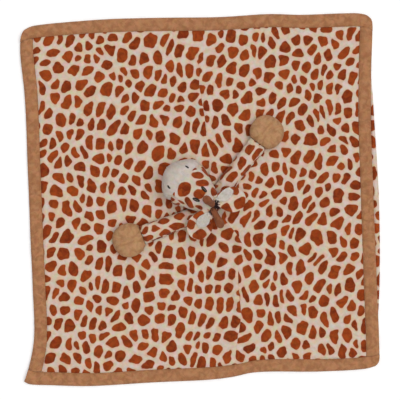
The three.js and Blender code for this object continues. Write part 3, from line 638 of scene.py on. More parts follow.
depths = fine_ends(10, border_width, steps=(0, 0.15, 0.4, 0.8, 1.4, 2.2))
long_runs = fine_ends(170, blanket_size[0], steps=(0, 0.5, 1, 2))
side_runs = np.linspace(strip_along * seam_share, 1 - strip_along * seam_share, 160)
for side in ("bottom", "top", "left", "right"):
    level = side in ("bottom", "top")
    run, depth = np.meshgrid(long_runs, depths) if level else np.meshgrid(depths, side_runs)[::-1]
    share = depth * (strip_along if level else strip_across)
    if side in ("top", "right"):
        run, depth, share = (np.flip(grid, 0 if level else 1) for grid in (run, depth, 1 - share))
    across, along = (run, share) if level else (share, run)
    strip = border_strip(side, across, along, depth, run * blanket_size[0 if level else 1])
    strip_flat = long_strip_flat if level else side_strip_flat
    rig.sheet(strip, flat=strip_flat, held="laid", rests_on=[back_layer])

# The front layer: printed velour inside the border, pulled in a little at the seam all round. Two
# creases run up it, where there is more cloth than the back layer has, and it swells beside them. It
# is pushed up in folds between the head and the arms, where the neck is sewn to it.
creases = [
    {
        "path": [
            (0.19, -1), (0.19, -0.8), (0.215, -0.62), (0.2, -0.46), (0.2, -0.36), (0.235, -0.255),
            (0.19, -0.185), (0.135, -0.115), (0.08, 0.05), (0.035, 0.262), (0.015, 0.44), (-0.015, 0.6),
            (-0.02, 1),
        ],
        "swells": [(-0.86, -0.29, 2.8, 5.2, 5), (-0.3, -0.09, 3.0, 4.6, 5), (0.25, 0.8, 2.4, 6.0, 4)],
    },
    {
        "path": [(0.66, -1), (0.66, 0.2), (0.65, 0.38), (0.655, 0.56), (0.69, 0.72), (0.7, 1)],
        "swells": [(0.15, 0.84, 1.7, 8.0, 1.5)],
    },
]
# The steep side of a swell, and how far and where its crest hangs over the crease
steep_width, overhang, overhang_from, overhang_width = 0.75, 0.34, 0.25, 0.62
crease_steps = np.array([
    -14, -9, -6, -4.2, -3, -2.1, -1.4, -0.9, -0.5, -0.2, 0.05,
    0.25, 0.45, 0.65, 0.85, 1.1, 1.4, 1.9, 2.6, 3.6, 5, 8,
])


def crease_x(crease, y):
    path = np.array(crease["path"]) * blanket_size / 2
    return np.interp(y, path[:, 1], path[:, 0])


# The folds between the head and the arms: their height, how far they reach from the neck, their number
# in a full round, and how much cloth they take up. What is pushed up highest turns with the neck that
# it is gathered to: folds_still is where that begins, and folds_turning where it is complete.
neck_middle, head_turn = (8.0, -2.5), 140.0
fold_height, fold_reach, fold_count, fold_take = 13.0, 44.0, 22, 8.0
folds_still, folds_turning = (0.008, -0.0025, 0.0086), (0.008, -0.0025, 0.013)
muzzle_line = ((-12.0, 14.0), (-34.0, 33.0))


def neck_folds(x, y):
    """How far the front layer is pushed up round the neck, and the share by which a place's cloth lies
    further in than the place does."""
    x, y = x - neck_middle[0], y - neck_middle[1]
    away, turn = np.hypot(x, y), np.arctan2(y, x) - math.radians(head_turn)
    place = (x + neck_middle[0], y + neck_middle[1])
    from_arms, from_muzzle = from_lines(*place, limb_lines[1:]), from_lines(*place, [muzzle_line])
    ahead = ease(np.cos(turn), 0.0, 0.55)
    room = ease(from_arms, 6, 12.5) * ease(from_muzzle, 14.5, 24)
    room = room * ahead * ease(away, 8, 14) * (1 - ease(away, 22, fold_reach))
    ridges = 0.16 * np.cos(fold_count * turn + 0.06 * away + 1.2 * roughness_at(x, y, 12, 6.0))
    taken_in = -fold_take * ahead * (1 - ease(away, 8, fold_reach)) / away.clip(8)
    return fold_height * room * (1 + ridges), taken_in


def swell_and_take(x, y):
    """How far the creases lift the front layer, how much cloth lies hidden in them, and how far their
    crests hang over it."""
    lift, taken, over_foot = np.zeros((3, *x.shape))
    for crease in creases:
        away = x - crease_x(crease, y)
        for low, high, height, half_width, hidden in crease["swells"]:
            run = np.clip((y / (blanket_size[1] / 2) - low) / (high - low), 0, 1)
            full = np.sin(np.pi * run) ** 0.7
            width = np.where(away < 0, half_width, steep_width)
            lift = np.maximum(lift, height * full * np.exp(-((away / width) ** 2)))
            taken += hidden * full * ease(away, 0.1, 1.3)
            over_foot += overhang * hidden * full * fallen(away - overhang_from, 1, overhang_width)
    return lift, taken, over_foot


inset_x, inset_y = strip_across * seam_share, strip_along * seam_share
width_share, length_share = 1 - 2 * inset_x, 1 - 2 * inset_y
rows = inset_y + fine_ends(150, blanket_size[1] * length_share) * length_share
start, end = on_blanket(inset_x, rows)[:, 0], on_blanket(1 - inset_x, rows)[:, 0]
mid_y = on_blanket(0.5, rows)[:, 1]


def fill_to(columns, group, count):
    """Adds a group of columns, with others evenly between the last one and it."""
    fill = np.linspace(0, 1, count)[1:-1]
    return [*columns, columns[-1][:, -1:] * (1 - fill) + group[:, :1] * fill, group]


near_edge = np.array(edge_steps)
columns = [start[:, None] + near_edge]
for crease, count in zip(creases, (75, 40)):
    columns = fill_to(columns, crease_x(crease, mid_y)[:, None] + crease_steps, count)
columns = fill_to(columns, end[:, None] - near_edge[::-1], 24)
column_share = (np.concatenate(columns, 1) - start[:, None]) / (end - start)[:, None]
places = on_blanket(inset_x + column_share * width_share, rows[:, None])
x, y = places[..., 0], places[..., 1]
swell, taken, over_foot = swell_and_take(x, y)
places = places + np.stack([over_foot, np.zeros(x.shape)], -1)
row_share = ((rows - inset_y) / length_share)[:, None]
from_edge = np.minimum(
    np.minimum(column_share, 1 - column_share) * (end - start)[:, None],
    np.minimum(row_share, 1 - row_share) * (blanket_size[1] * length_share),
)
clear = ease(from_lines(x, y, limb_lines), 38, 60)
pucker = np.sin((x + y) / 1.15 + 2 * roughness_at(x, y, 13, 1.0)) * np.exp(-from_edge / 3.5)
folded, taken_in = neck_folds(x, y)
ripple = 0.28 * (1 + roughness_at(x, y, 26, 2.0)) * clear * ease(from_edge, 0, 12)
lift = lie(x, y) + np.maximum(swell, folded) + ripple
under = strip_under + 0.05 + lift * 0.98
over = blanket_top + lift + 0.16 * pucker - fallen(from_edge, 0.85, 1.2)
cloth = np.stack([x + taken + taken_in * (x - neck_middle[0]), y + taken_in * (y - neck_middle[1])], -1)
front_layer = sheet_piece("front_layer", places, under, over, cloth, print_velour)
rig.blend(front_layer, "blanket", "neck", start=folds_still, end=folds_turning)
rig.replaces(front_layer, "front_panel")
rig.sheet(front_layer, flat=(0.338, 0.347), held="laid", rests_on=[back_layer])
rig.slot(front_layer, "print_plush")

# The head, laid on the blanket with its muzzle to the upper left: a printed cover and a plain cream
# muzzle, each a sewn velour pouch, joined by a seam round the head. Loose fibre stuffs both firmly.
# The cloth is gathered into the seam, so it puckers beside it.
head_place = neck_middle
head_back, head_seam, head_front = -10.0, 30.0, 55.0
head_width, head_height, crown_lift = 44.5, 39.0, 3.0
seam_bow = 3.0
limb_under = blanket_top + 0.35
head_shares = [
    (0, 0, 0), (0.012, 0.13, 0.15), (0.045, 0.3, 0.32), (0.1, 0.44, 0.45), (0.2, 0.6, 0.58),
    (0.32, 0.735, 0.68), (0.45, 0.89, 0.78), (0.56, 0.985, 0.88), (0.615, 0.995, 0.925),
    (0.72, 1, 1), (0.82, 0.92, 0.97), (0.91, 0.7, 0.81), (0.965, 0.43, 0.54), (0.99, 0.2, 0.27), (1, 0, 0),
]
# 2 would make the head and the limbs oval across, and more makes them squarer
section_power = 2.25
head_cloth = (113.0, 64.0)
# The spots of the face, which its cover is cut to show: along and aside on the head, half their length
# and width, and their turn. No other spot falls inside the round.
face_spots = [
    (26.6, 4.3, 8.6, 5.7, 93),
    (24.8, -11.7, 5.8, 3.1, 34),
    (17.0, -9.2, 6.3, 3.2, 44),
    (13.1, -0.4, 6.7, 3.9, 65),
    (15.0, 12.0, 6.6, 3.0, 163),
    (22.4, -20.1, 5.3, 2.3, 177),
    (3.0, -10.8, 5.6, 3.8, 145),
    (10.2, -17.1, 3.8, 2.1, 175),
    (21.1, 16.3, 3.6, 1.5, 7),
    (22.7, 21.2, 4.4, 2.2, 2),
    (5.2, 9.0, 4.0, 2.0, 25),
]
face_round = (16.0, 0.0, 25.0, 21.0, 0.0)
head_cells, head_filling_cells, seam_cell = 27, 12, 0.5
seam_hold, neck_hold, neck_hold_reach = 0.8, 0.8, 9
shell_wall, filling_take_in = 1.2, 3.2
# The trial of a stuffed pouch runs this many times larger, and for this many steps
stuffing_scale, stuffing_steps = 12, 20
light_cream, dark_cream = (0.6, 0.53, 0.475, 1), (0.515, 0.445, 0.39, 1)
face_cream, face_pink = (0.62, 0.54, 0.46, 1), (0.55, 0.455, 0.385, 1)
white_fibre, grey_fibre = (0.86, 0.855, 0.84, 1), (0.7, 0.69, 0.67, 1)

cream_velour = velour("cream_velour", light_cream, dark_cream, pile=0.8)


def wadding_material():
    """Loose white polyester fibre, crossed and clumped."""
    made, tree, surface = new_material("loose_wadding")
    place = add_node(tree, "ShaderNodeTexCoord").outputs["Object"]
    clump = cloudy(tree, place, 260, 4, Distortion=1.5)["Fac"]
    strand = add_node(tree, "ShaderNodeTexWave", {
        "Vector": place, "Scale": 420, "Distortion": 16, "Detail": 3, "Detail Scale": 1.6,
    }).outputs["Fac"]
    share = times(tree, clump, strand)
    bump = add_node(tree, "ShaderNodeBump", {"Height": share, "Strength": 0.6, "Distance": 1 * MM})
    set_inputs(tree, surface, {
        "Base Color": mix_colours(tree, share, white_fibre, grey_fibre), "Normal": bump.outputs["Normal"],
        "Roughness": 0.9, "Sheen Weight": 0.3,
    })
    return made


wadding = wadding_material()


def ball(cells, open_at=None):
    """Directions and faces of a ball made of six squares of small squares, so that nothing is pinched
    at its ends. open_at cuts off the end behind that share of its radius along X."""
    shape = bmesh.new()
    bmesh.ops.create_cube(shape, size=2)
    bmesh.ops.subdivide_edges(shape, edges=shape.edges[:], cuts=cells - 1, use_grid_fill=True)
    for spot in shape.verts:
        spot.co = Vector([math.tan(c * math.pi / 4) for c in spot.co]).normalized()
    if open_at is not None:
        bmesh.ops.bisect_plane(
            shape, geom=shape.verts[:] + shape.edges[:] + shape.faces[:], dist=0.4 / cells,
            plane_co=(open_at, 0, 0), plane_no=(1, 0, 0), clear_inner=True,
        )
    return plain_arrays(shape)


def plain_arrays(shape):
    shape.verts.index_update()
    points = np.array([spot.co[:] for spot in shape.verts])
    faces = [[spot.index for spot in face.verts] for face in shape.faces]
    shape.free()
    return points, faces


def cut_round(points, faces, along):
    """The same surface with an edge round it at a place along it, where a seam goes."""
    shape = bmesh.new()
    spots = [shape.verts.new(p) for p in points]
    for face in faces:
        shape.faces.new([spots[i] for i in face])
    bmesh.ops.bisect_plane(
        shape, geom=shape.verts[:] + shape.edges[:] + shape.faces[:], dist=0.004,
        plane_co=(along, 0, 0), plane_no=(1, 0, 0),
    )
    return plain_arrays(shape)


def soft_form(shares, start, length, width, height, middle):
    """A stuffed form along X, from its half widths and half heights as shares. middle gives the height
    of its middle. It returns a rule from distance and angle to the point, and one for its half sizes."""
    knots = smooth_path(shares, 12)

    def sizes(along):
        share = np.clip((along - start) / length, 0, 1)
        half_width = np.interp(share, knots[:, 0], knots[:, 1]) * width / 2
        return half_width, np.interp(share, knots[:, 0], knots[:, 2]) * height / 2

    def point(along, angle, let_out=0.0):
        half_width, half_height = sizes(along)
        across, up = (np.sign(v) * np.abs(v) ** (2 / section_power) for v in (np.cos(angle), np.sin(angle)))
        rise = middle(along, half_height) + (half_height + let_out) * up
        return np.stack([along + 0 * rise, (half_width + let_out) * across, rise], -1)

    return point, sizes


def on_form(form, start, length, ways, bow=0.0):
    """The point of a form under each direction of a ball. bow is how far forward each is shifted."""
    along = start + length * (1 + ways[:, 0]) / 2
    return form[0](along + bow, np.arctan2(ways[:, 2], ways[:, 1]))


def drawn_in(points, depth, centre_height):
    """Points moved in towards the form's own middle line by a depth."""
    aside = np.column_stack([points[:, 1], points[:, 2] - centre_height])
    aside = aside / np.maximum(np.linalg.norm(aside, axis=1), 1e-6)[:, None]
    moved = points.copy()
    moved[:, 1:] -= aside * np.asarray(depth)[:, None]
    return moved


def stuffed(points, faces, held, cap, grow=0.06, pressure=4.0):
    """The form after its filling has pressed the cloth out. held is how firmly each point is sewn down,
    from 0 to 1, grow is how much looser the cloth is cut, and no point moves further than cap."""
    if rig.quick():
        return points
    size = MM * stuffing_scale
    mesh = bpy.data.meshes.new("trial")
    mesh.from_pydata((points * size).tolist(), [], faces)
    trial = new_object("trial", mesh)
    sewn = trial.vertex_groups.new(name="sewn")
    for spot in np.nonzero(held > 0.01)[0]:
        sewn.add([int(spot)], float(held[spot]), "REPLACE")
    cloth = trial.modifiers.new("filling", "CLOTH")
    cloth.settings.vertex_group_mass = "sewn"
    cloth.settings.use_pressure = True
    cloth.settings.uniform_pressure_force = pressure
    cloth.settings.shrink_min = -grow
    cloth.settings.quality = 6
    cloth.settings.bending_stiffness = 0.3
    cloth.settings.effector_weights.gravity = 0
    cloth.collision_settings.use_collision = False
    cloth.point_cache.frame_start, cloth.point_cache.frame_end = 1, stuffing_steps
    for step in range(1, stuffing_steps + 1):
        bpy.context.scene.frame_set(step)
    shown = trial.evaluated_get(bpy.context.evaluated_depsgraph_get())
    found = np.empty(len(points) * 3)
    shown.data.vertices.foreach_get("co", found)
    bpy.context.scene.frame_set(1)
    bpy.data.objects.remove(trial)
    move = found.reshape(-1, 3) / size - points
    far = np.linalg.norm(move, axis=1)
    return points + move * (cap * np.tanh(far / cap) / np.maximum(far, 1e-9))[:, None]


def round_cloth(points, faces, girth, middle, start=(0.0, 0.0), seams=None, shift=(47.0, 31.0)):
    """Where each face corner of a stuffed form lies on its flat cloth: along it, and round it from its
    top. The cloth below the seams is another piece, cut from elsewhere on the print."""
    corners = np.concatenate(faces)
    which = np.repeat(np.arange(len(faces)), [len(face) for face in faces])
    centres = np.array([points[face].mean(0) for face in faces])
    turn, side = (np.arctan2(p[:, 1], p[:, 2] - middle(p[:, 0])) for p in (points, centres))
    turn, side = turn[corners], side[which]
    turn = (turn - side + np.pi) % (2 * np.pi) - np.pi + side
    flat = np.column_stack([points[corners, 0] + start[0], turn * girth(points[corners, 0]) + start[1]])
    if seams:
        flat[(side < seams[0]) | (side > seams[1])] += shift
    return flat


def turned(points, degrees, place):
    """Points turned about the upright and moved to their place on the blanket."""
    angle = math.radians(degrees)
    x = points[..., 0] * math.cos(angle) - points[..., 1] * math.sin(angle) + place[0]
    y = points[..., 0] * math.sin(angle) + points[..., 1] * math.cos(angle) + place[1]
    return np.stack([x, y, points[..., 2]], -1)


def finished(piece):
    """The piece as a plain mesh, with its modifiers applied."""
    graph = bpy.context.evaluated_depsgraph_get()
    shown = piece.evaluated_get(graph)
    made = bpy.data.meshes.new_from_object(shown, preserve_all_data_layers=True, depsgraph=graph)
    made.name = piece.name
    piece.modifiers.clear()
    piece.data = made
    return piece


def pouch(name, points, faces, cloth, material, wall=shell_wall):
    """A sewn pouch or tube: its outer face, a wall as thick as the cloth, and one smoothing."""
    piece = new_piece(name, points, faces, cloth, material)
    if wall:
        thick = piece.modifiers.new("wall", "SOLIDIFY")
        thick.thickness = wall * MM
        thick.offset = -1
        thick.edge_crease_outer = 1
    smooth = piece.modifiers.new("smooth", "SUBSURF")
    smooth.levels = smooth.render_levels = 1
    return finished(piece)


def wad(name, points, faces, seed):
    """A lump of loose fibre with an uneven surface."""
    bumps = np.array([noise.noise(Vector(p / 5) + Vector((seed, 0, 0))) for p in points])
    middle = points.mean(0)
    points = points + (points - middle) * (0.03 * (bumps[:, None] - 0.6))
    return pouch(name, points, faces, np.zeros((sum(map(len, faces)), 2)), wadding, wall=0)


def select_faces(points, faces, keep, corners):
    """The faces that are kept, with only their own points, and the corner values that go with them."""
    sizes = [len(face) for face in faces]
    chosen = [face for face, k in zip(faces, keep) if k]
    used = np.unique(np.concatenate(chosen))
    index = np.full(len(points), -1)
    index[used] = np.arange(len(used))
    return points[used], [[int(index[i]) for i in face] for face in chosen], corners[np.repeat(keep, sizes)]


def head_middle(along, half_height=0.0):
    to_back = np.clip((head_seam - along) / (head_seam - head_back), 0, 1)
    return limb_under + head_height / 2 + crown_lift * to_back


def head_form(take_in):
    """The form of the head with its skin taken in, where it starts, and its length."""
    start, length = head_back + take_in, head_front - head_back - 2 * take_in
    width, height = head_width - 2 * take_in, head_height - 2 * take_in
    return soft_form(head_shares, start, length, width, height, head_middle), start, length


head_point, head_sizes = head_form(0)[0]
form, start, length = head_form(0.2)
ways, faces = ball(head_cells)
for along in (head_seam - seam_cell, head_seam + seam_cell, head_seam):
    ways, faces = cut_round(ways, faces, 2 * (along - start) / length - 1)
from_seam = start + length * (1 + ways[:, 0]) / 2 - head_seam
to_top = np.clip(ways[:, 2] / np.hypot(ways[:, 1], ways[:, 2]).clip(1e-6), -1, 1)
points = on_form(form, start, length, ways, seam_bow * np.clip(to_top, 0, 1) * fallen(from_seam, 1, 9))
turn = np.arctan2(points[:, 1], points[:, 2] - head_middle(points[:, 0]))
behind, beside = np.clip(-from_seam, 0, None), 1 - np.abs(to_top)
# The seam draws the cloth in, with puckers and folds behind it. The cheeks are full beside the seam, and
# the muzzle is a little slimmer towards its end, most of all on its right.
depth = (0.16 + 0.8 * beside) * np.exp(-((from_seam / 1.3) ** 2))
depth += 0.2 * (1 + np.cos(26 * turn)) * np.exp(-np.abs(behind - 2.5) / 3) * (from_seam < 0)
depth += 2.6 * np.cos(17 * turn + 1) * beside * (1 - beside) * ease(behind, 0, 3) * np.exp(-behind / 14)
depth -= 1.1 * beside * np.exp(-(((from_seam + 2) / 13) ** 2))
depth += 1.3 * ease(from_seam, 3, 20) + 1.0 * np.clip(-points[:, 1] / 16, 0, 1) * ease(from_seam, 6, 18)
shaped = drawn_in(points, depth, head_middle(points[:, 0]))
shaped[:, 0] -= 1.2 * ease(from_seam, 3, 20)
from_neck = np.hypot(points[:, 0], points[:, 1])
sewn = np.maximum(
    seam_hold * (np.abs(from_seam) < 0.32),
    neck_hold * ((from_neck < neck_hold_reach) & (points[:, 2] < head_middle(0.0))),
)
full = stuffed(shaped, faces, sewn, cap=1.4 - 1.1 * ease(from_seam, 4, 20), grow=0.09)
cloth = round_cloth(points, faces, lambda x: sum(head_sizes(x)) / 2, head_middle, start=head_cloth)


def on_head_cloth(along, side):
    """Where a place on top of the head lies on its flat cloth."""
    x, y, z = head_point(along, np.arccos(np.clip(side / head_sizes(along)[0], -1, 1)))
    turn = math.atan2(y, z - head_middle(along))
    return head_cloth[0] + along, head_cloth[1] + turn * sum(head_sizes(along)) / 2


placed = [(*on_head_cloth(along, side), *sizes) for along, side, *sizes in face_spots]
cleared = (*on_head_cloth(*face_round[:2]), *face_round[2:])
face_velour = velour(
    "face_print_velour", face_cream, face_pink,
    lambda *given: giraffe_spots(*given, spots=placed, clear_round=cleared), **print_look,
)
in_front = np.array([from_seam[face].mean() for face in faces]) > 0
head_parts = {
    "head_print": (~in_front, face_velour, "head_cover", "print_plush"),
    "head_muzzle": (in_front, cream_velour, "muzzle", "cream_plush"),
}
on_table = turned(full, head_turn, head_place)
for name, (keep, material, node, finish) in head_parts.items():
    part = pouch(name, *select_faces(on_table, faces, keep, cloth), material)
    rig.ride(part, "head")
    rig.replaces(part, node)
    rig.padded(part, fill=0.85)
    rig.slot(part, finish)
head_skin = BVHTree.FromPolygons((on_table * MM).tolist(), faces)

form, start, length = head_form(filling_take_in)
ways, faces = ball(head_filling_cells)
points = turned(on_form(form, start, length, ways), head_turn, head_place)
head_wadding = wad("head_wadding", points, faces, 1.0)
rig.ride(head_wadding, "head")
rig.replaces(head_wadding, "head_filling")
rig.padded(head_wadding, fill=0.85)
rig.slot(head_wadding, "fibrefill")


# The face is satin-stitched: each eye is a dark pad with a warm grey bar across it, which is a painted
# highlight in grey thread, and each nostril is a few short dark stitches. The threads go through the
# cloth and lie close beside each other.
# Each place is along and aside on the head, and its turn.
eye_sizes = {"length": 7.2, "width": 3.4, "rise": 0.75}
eye_places = {"left": (10.1, 7.4, 12.0), "right": (10.8, -8.3, -1.0)}
# The painted highlight on each eye: a grey thread bar along its crest
painted_highlight_sizes = {"length": 4.0, "width": 0.35, "rise": 0.3}
nostril_sizes = {"length": 4.0, "width": 1.45, "rise": 0.5}
nostril_places = {"left": (40.4, 17.4, 0.0), "right": (39.0, -15.8, 0.0)}
thread_radius = 0.2
dark_thread_colours = ((0.024, 0.015, 0.01, 1), (0.008, 0.005, 0.004, 1))
painted_highlight_colours = ((0.27, 0.21, 0.145, 1), (0.16, 0.12, 0.08, 1))


def thread_material(name, light, dark, roughness):
    """Twisted thread, which shines along it where it isn't rough."""
    made, tree, surface = new_material(name)
    place = add_node(tree, "ShaderNodeTexCoord").outputs["Object"]
    twist = cloudy(tree, place, 3200, 2)["Fac"]
    bump = add_node(tree, "ShaderNodeBump", {"Height": twist, "Strength": 0.5, "Distance": 0.1 * MM})
    set_inputs(tree, surface, {
        "Base Color": mix_colours(tree, twist, dark, light), "Normal": bump.outputs["Normal"],
        "Roughness": roughness, "Specular IOR Level": 0.25, "Sheen Weight": 0.04,
    })
    return made


dark_thread = thread_material("dark_satin_thread", *dark_thread_colours, 0.42)
# The grey thread paints the eyes' highlight
grey_thread = thread_material("grey_satin_thread", *painted_highlight_colours, 0.42)


def shape_tree(name, sizes):
    """A geometry tree that takes a mesh, a material and named sizes."""
    tree = bpy.data.node_groups.new(name, "GeometryNodeTree")
    tree.interface.new_socket("Geometry", in_out="INPUT", socket_type="NodeSocketGeometry")
    tree.interface.new_socket("Material", in_out="INPUT", socket_type="NodeSocketMaterial")
    for size, value in sizes.items():
        kind = "NodeSocketInt" if isinstance(value, int) else "NodeSocketFloat"
        tree.interface.new_socket(size, in_out="INPUT", socket_type=kind).default_value = value
    tree.interface.new_socket("Geometry", in_out="OUTPUT", socket_type="NodeSocketGeometry")
    return tree, tree.nodes.new("NodeGroupInput").outputs, tree.nodes.new("NodeGroupOutput")


def vector(tree, **parts):
    return add_node(tree, "ShaderNodeCombineXYZ", parts).outputs[0]


def random_size(tree, low, high, seed):
    inputs = {2: low, 3: high, "Seed": seed}
    return add_node(tree, "FunctionNodeRandomValue", inputs, data_type="FLOAT").outputs[1]


def end_with_threads(tree, given, out, sewn, radius, sides):
    """Turns the lines that are set out on points into round threads, and ends the tree."""
    lines = add_node(tree, "GeometryNodeRealizeInstances", {"Geometry": sewn.outputs[0]})
    round_line = add_node(tree, "GeometryNodeCurvePrimitiveCircle", {"Resolution": sides, "Radius": 1.0})
    thick = add_node(tree, "GeometryNodeSetCurveRadius", {"Curve": lines.outputs[0], "Radius": radius})
    made = add_node(tree, "GeometryNodeCurveToMesh", {
        "Curve": thick.outputs[0], "Profile Curve": round_line.outputs[0], "Fill Caps": True,
    })
    if "Scale" in made.inputs:
        tree.links.new(radius, made.inputs["Scale"])
    real = add_node(tree, "GeometryNodeRealizeInstances", {"Geometry": made.outputs[0]})
    end = add_node(tree, "GeometryNodeSetMaterial", {
        "Geometry": real.outputs[0], "Material": given["Material"],
    })
    tree.links.new(end.outputs[0], out.inputs[0])
    return tree


def satin_tree():
    """Threads side by side across an oval."""
    tree, given, out = shape_tree("satin_stitches", {
        "Length": 0.006, "Width": 0.0036, "Rise": 0.0008, "Thread Radius": 0.0002, "Threads": 18, "Seed": 1,
    })
    half = times(tree, given["Length"], 0.5)
    ends = [vector(tree, X=times(tree, half, way)) for way in (-1.0, 1.0)]
    row = add_node(tree, "GeometryNodeMeshLine", {
        "Count": given["Threads"], "Start Location": ends[0], "Offset": ends[1],
    }, mode="END_POINTS")
    place = add_node(tree, "GeometryNodeInputPosition").outputs[0]
    share = add_node(tree, "ShaderNodeSeparateXYZ", {"Vector": place}).outputs["X"]
    share = times(tree, calculate(tree, "DIVIDE", share, half), 0.96)
    chord = calculate(tree, "SQRT", calculate(tree, "SUBTRACT", 1.0, times(tree, share, share)))
    chord = times(tree, chord, random_size(tree, 0.92, 1.06, given["Seed"]))
    half_width = times(tree, given["Width"], 0.5)
    size = vector(tree, X=1.0, Y=times(tree, half_width, chord), Z=times(tree, given["Rise"], chord))
    arc = add_node(tree, "GeometryNodeCurvePrimitiveBezierSegment", {
        "Resolution": 10, "Start": (0, -1, -0.2), "Start Handle": (0, -0.9, 1.2),
        "End Handle": (0, 0.9, 1.2), "End": (0, 1, -0.2),
    })
    sewn = add_node(tree, "GeometryNodeInstanceOnPoints", {
        "Points": row.outputs[0], "Instance": arc.outputs[0], "Scale": size,
    })
    return end_with_threads(tree, given, out, sewn, given["Thread Radius"], 6)


def grown(name, base, tree, material, **values):
    """What a geometry tree makes on a base mesh, as a plain mesh object."""
    piece = new_object(name, base)
    shaper = piece.modifiers.new("shape", "NODES")
    shaper.node_group = tree
    sockets = {s.name: s.identifier for s in tree.interface.items_tree if s.in_out == "INPUT"}
    shaper[sockets["Material"]] = material
    for key, value in values.items():
        shaper[sockets[key.replace("_", " ")]] = value
    finished(piece)
    piece.data.shade_smooth()
    if not piece.data.materials:
        piece.data.materials.append(material)
    return piece


def on_head(along, side, let_out=0.0):
    """A point on the top of the head's plain form, in the head's own directions."""
    half_width = head_sizes(along)[0]
    share = np.clip(side / (half_width + let_out), -1, 1)
    return head_point(along, np.arccos(np.sign(share) * np.abs(share) ** (section_power / 2)), let_out)


def head_outward(along, side):
    here = on_head(along, side)
    facing = np.cross(on_head(along + 0.4, side) - here, on_head(along, side + 0.4) - here)
    return facing / np.linalg.norm(facing)


def sewn_on_head(piece, along, side, turn):
    """Bends a flat piece onto the head's skin at a place, turned about the way that the skin faces."""
    outward = head_outward(along, side)
    forward = np.array([1.0, 0, 0]) - outward * outward[0]
    forward /= np.linalg.norm(forward)
    turn = math.radians(turn)
    long = forward * math.cos(turn) + np.cross(outward, forward) * math.sin(turn)
    short = np.cross(outward, long)
    middle = Vector(turned(on_head(along, side, 5.0), head_turn, head_place) * MM)
    outward, long, short = (Vector(turned(v, head_turn, (0, 0))) for v in (outward, long, short))
    for spot in piece.data.vertices:
        above = middle + long * spot.co.x + short * spot.co.y
        hit = head_skin.ray_cast(above, -outward)[0]
        spot.co = hit + outward * spot.co.z


satin = satin_tree()


def stitched(name, place, sizes, material, node, finish, lift=0.0):
    """A satin-stitched patch of the face, which replaces the plain one."""
    count = max(5, round(sizes["length"] / (thread_radius * 1.7)))
    piece = grown(
        name, bpy.data.meshes.new(name), satin, material, Length=sizes["length"] * MM,
        Width=sizes["width"] * MM, Rise=sizes["rise"] * MM, Thread_Radius=thread_radius * MM,
        Threads=count, Seed=len(name),
    )
    for spot in piece.data.vertices:
        spot.co.z += lift * MM
    sewn_on_head(piece, *place)
    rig.ride(piece, "head")
    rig.replaces(piece, node)
    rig.slot(piece, finish)


for side in ("left", "right"):
    stitched(f"{side}_eye_stitches", eye_places[side], eye_sizes, dark_thread, f"{side}_eye", "dark_thread")
    # The grey bar is a painted highlight, laid along the top of each eye in grey thread
    stitched(
        f"{side}_eye_bar", eye_places[side], painted_highlight_sizes, grey_thread, f"{side}_eye_highlight", "grey_thread",
        lift=eye_sizes["rise"] - 0.05,
    )
    stitched(
        f"{side}_nostril_stitches", nostril_places[side], nostril_sizes, dark_thread,
        f"{side}_nostril", "dark_thread",
    )

# The ears: each is a leaf of printed velour, cupped and drooping, with a smaller fluffy white lining
# sewn into its hollow. Its gathered root is sewn to the side of the crown.
ear_length, ear_width, ear_root_width = 30.0, 25.0, 8.0
ear_cup, ear_droop, ear_widest = 3.4, 7.0, 0.56
lining_start, lining_length, lining_width, lining_thickness = 0.4, 17.2, 11.8, 1.5
ears = {
    "left": {
        "along": 0.085, "side": 0.84, "points": 104.0, "lean": 0.14, "aside": -2.2,
        "pivot": (6.516, -11.23, 33.1),
    },
    "right": {
        "along": 0.1, "side": -0.62, "points": -139.0, "lean": 0.42, "aside": 0.5,
        "pivot": (14.582, -0.101, 35.2),
    },
}
root_out = 0.35
leaf_cloth, leaf_rim = (211.0, 90.0), 0.14
fluff_length, fluff_bend, fluff_spread, fluff_radius, fluff_density = 2.3, 1.1, 0.75, 0.055, 5.2
white_plush_colours = ((0.80, 0.755, 0.69, 1), (0.63, 0.575, 0.50, 1))

white_plush = velour("white_fluff", *white_plush_colours, pile=1.4)


def ear_half_width(out):
    share = np.clip(out / ear_length, 0, 1)
    past = np.clip((share - ear_widest) / (1 - ear_widest), 0, 1)
    spread = ear_root_width + (ear_width - ear_root_width) * np.sin(np.pi / 2 * share / ear_widest)
    return np.where(share > ear_widest, ear_width * np.sqrt(1 - past**2), spread) / 2


def ear_height(out, across):
    share = out / ear_length
    deep = ear_cup * np.sin(np.pi / 2 * np.minimum(1, share / ear_widest))
    folds = 0.35 * np.cos(across * 2.1) * np.exp(-out / 6)
    return deep * (across / (ear_width / 2)) ** 2 - ear_droop * ease(share, 0, 1) + folds


def ear_places(side, out, across):
    """Places on an ear's middle surface, on the table's axes."""
    ear = ears[side]
    along = head_back + ear["along"] * (head_front - head_back)
    root = on_head(along, ear["side"] * head_sizes(along)[0], root_out)
    angle = math.radians(ear["points"])
    way = np.sign(ear["side"])
    x = root[0] + out * math.cos(angle) + across * way * math.sin(angle)
    y = root[1] + out * math.sin(angle) - across * way * math.cos(angle)
    z = root[2] + cloth_thickness + ear_height(out, across)
    return turned(np.stack([x, y, z], -1), head_turn, head_place)


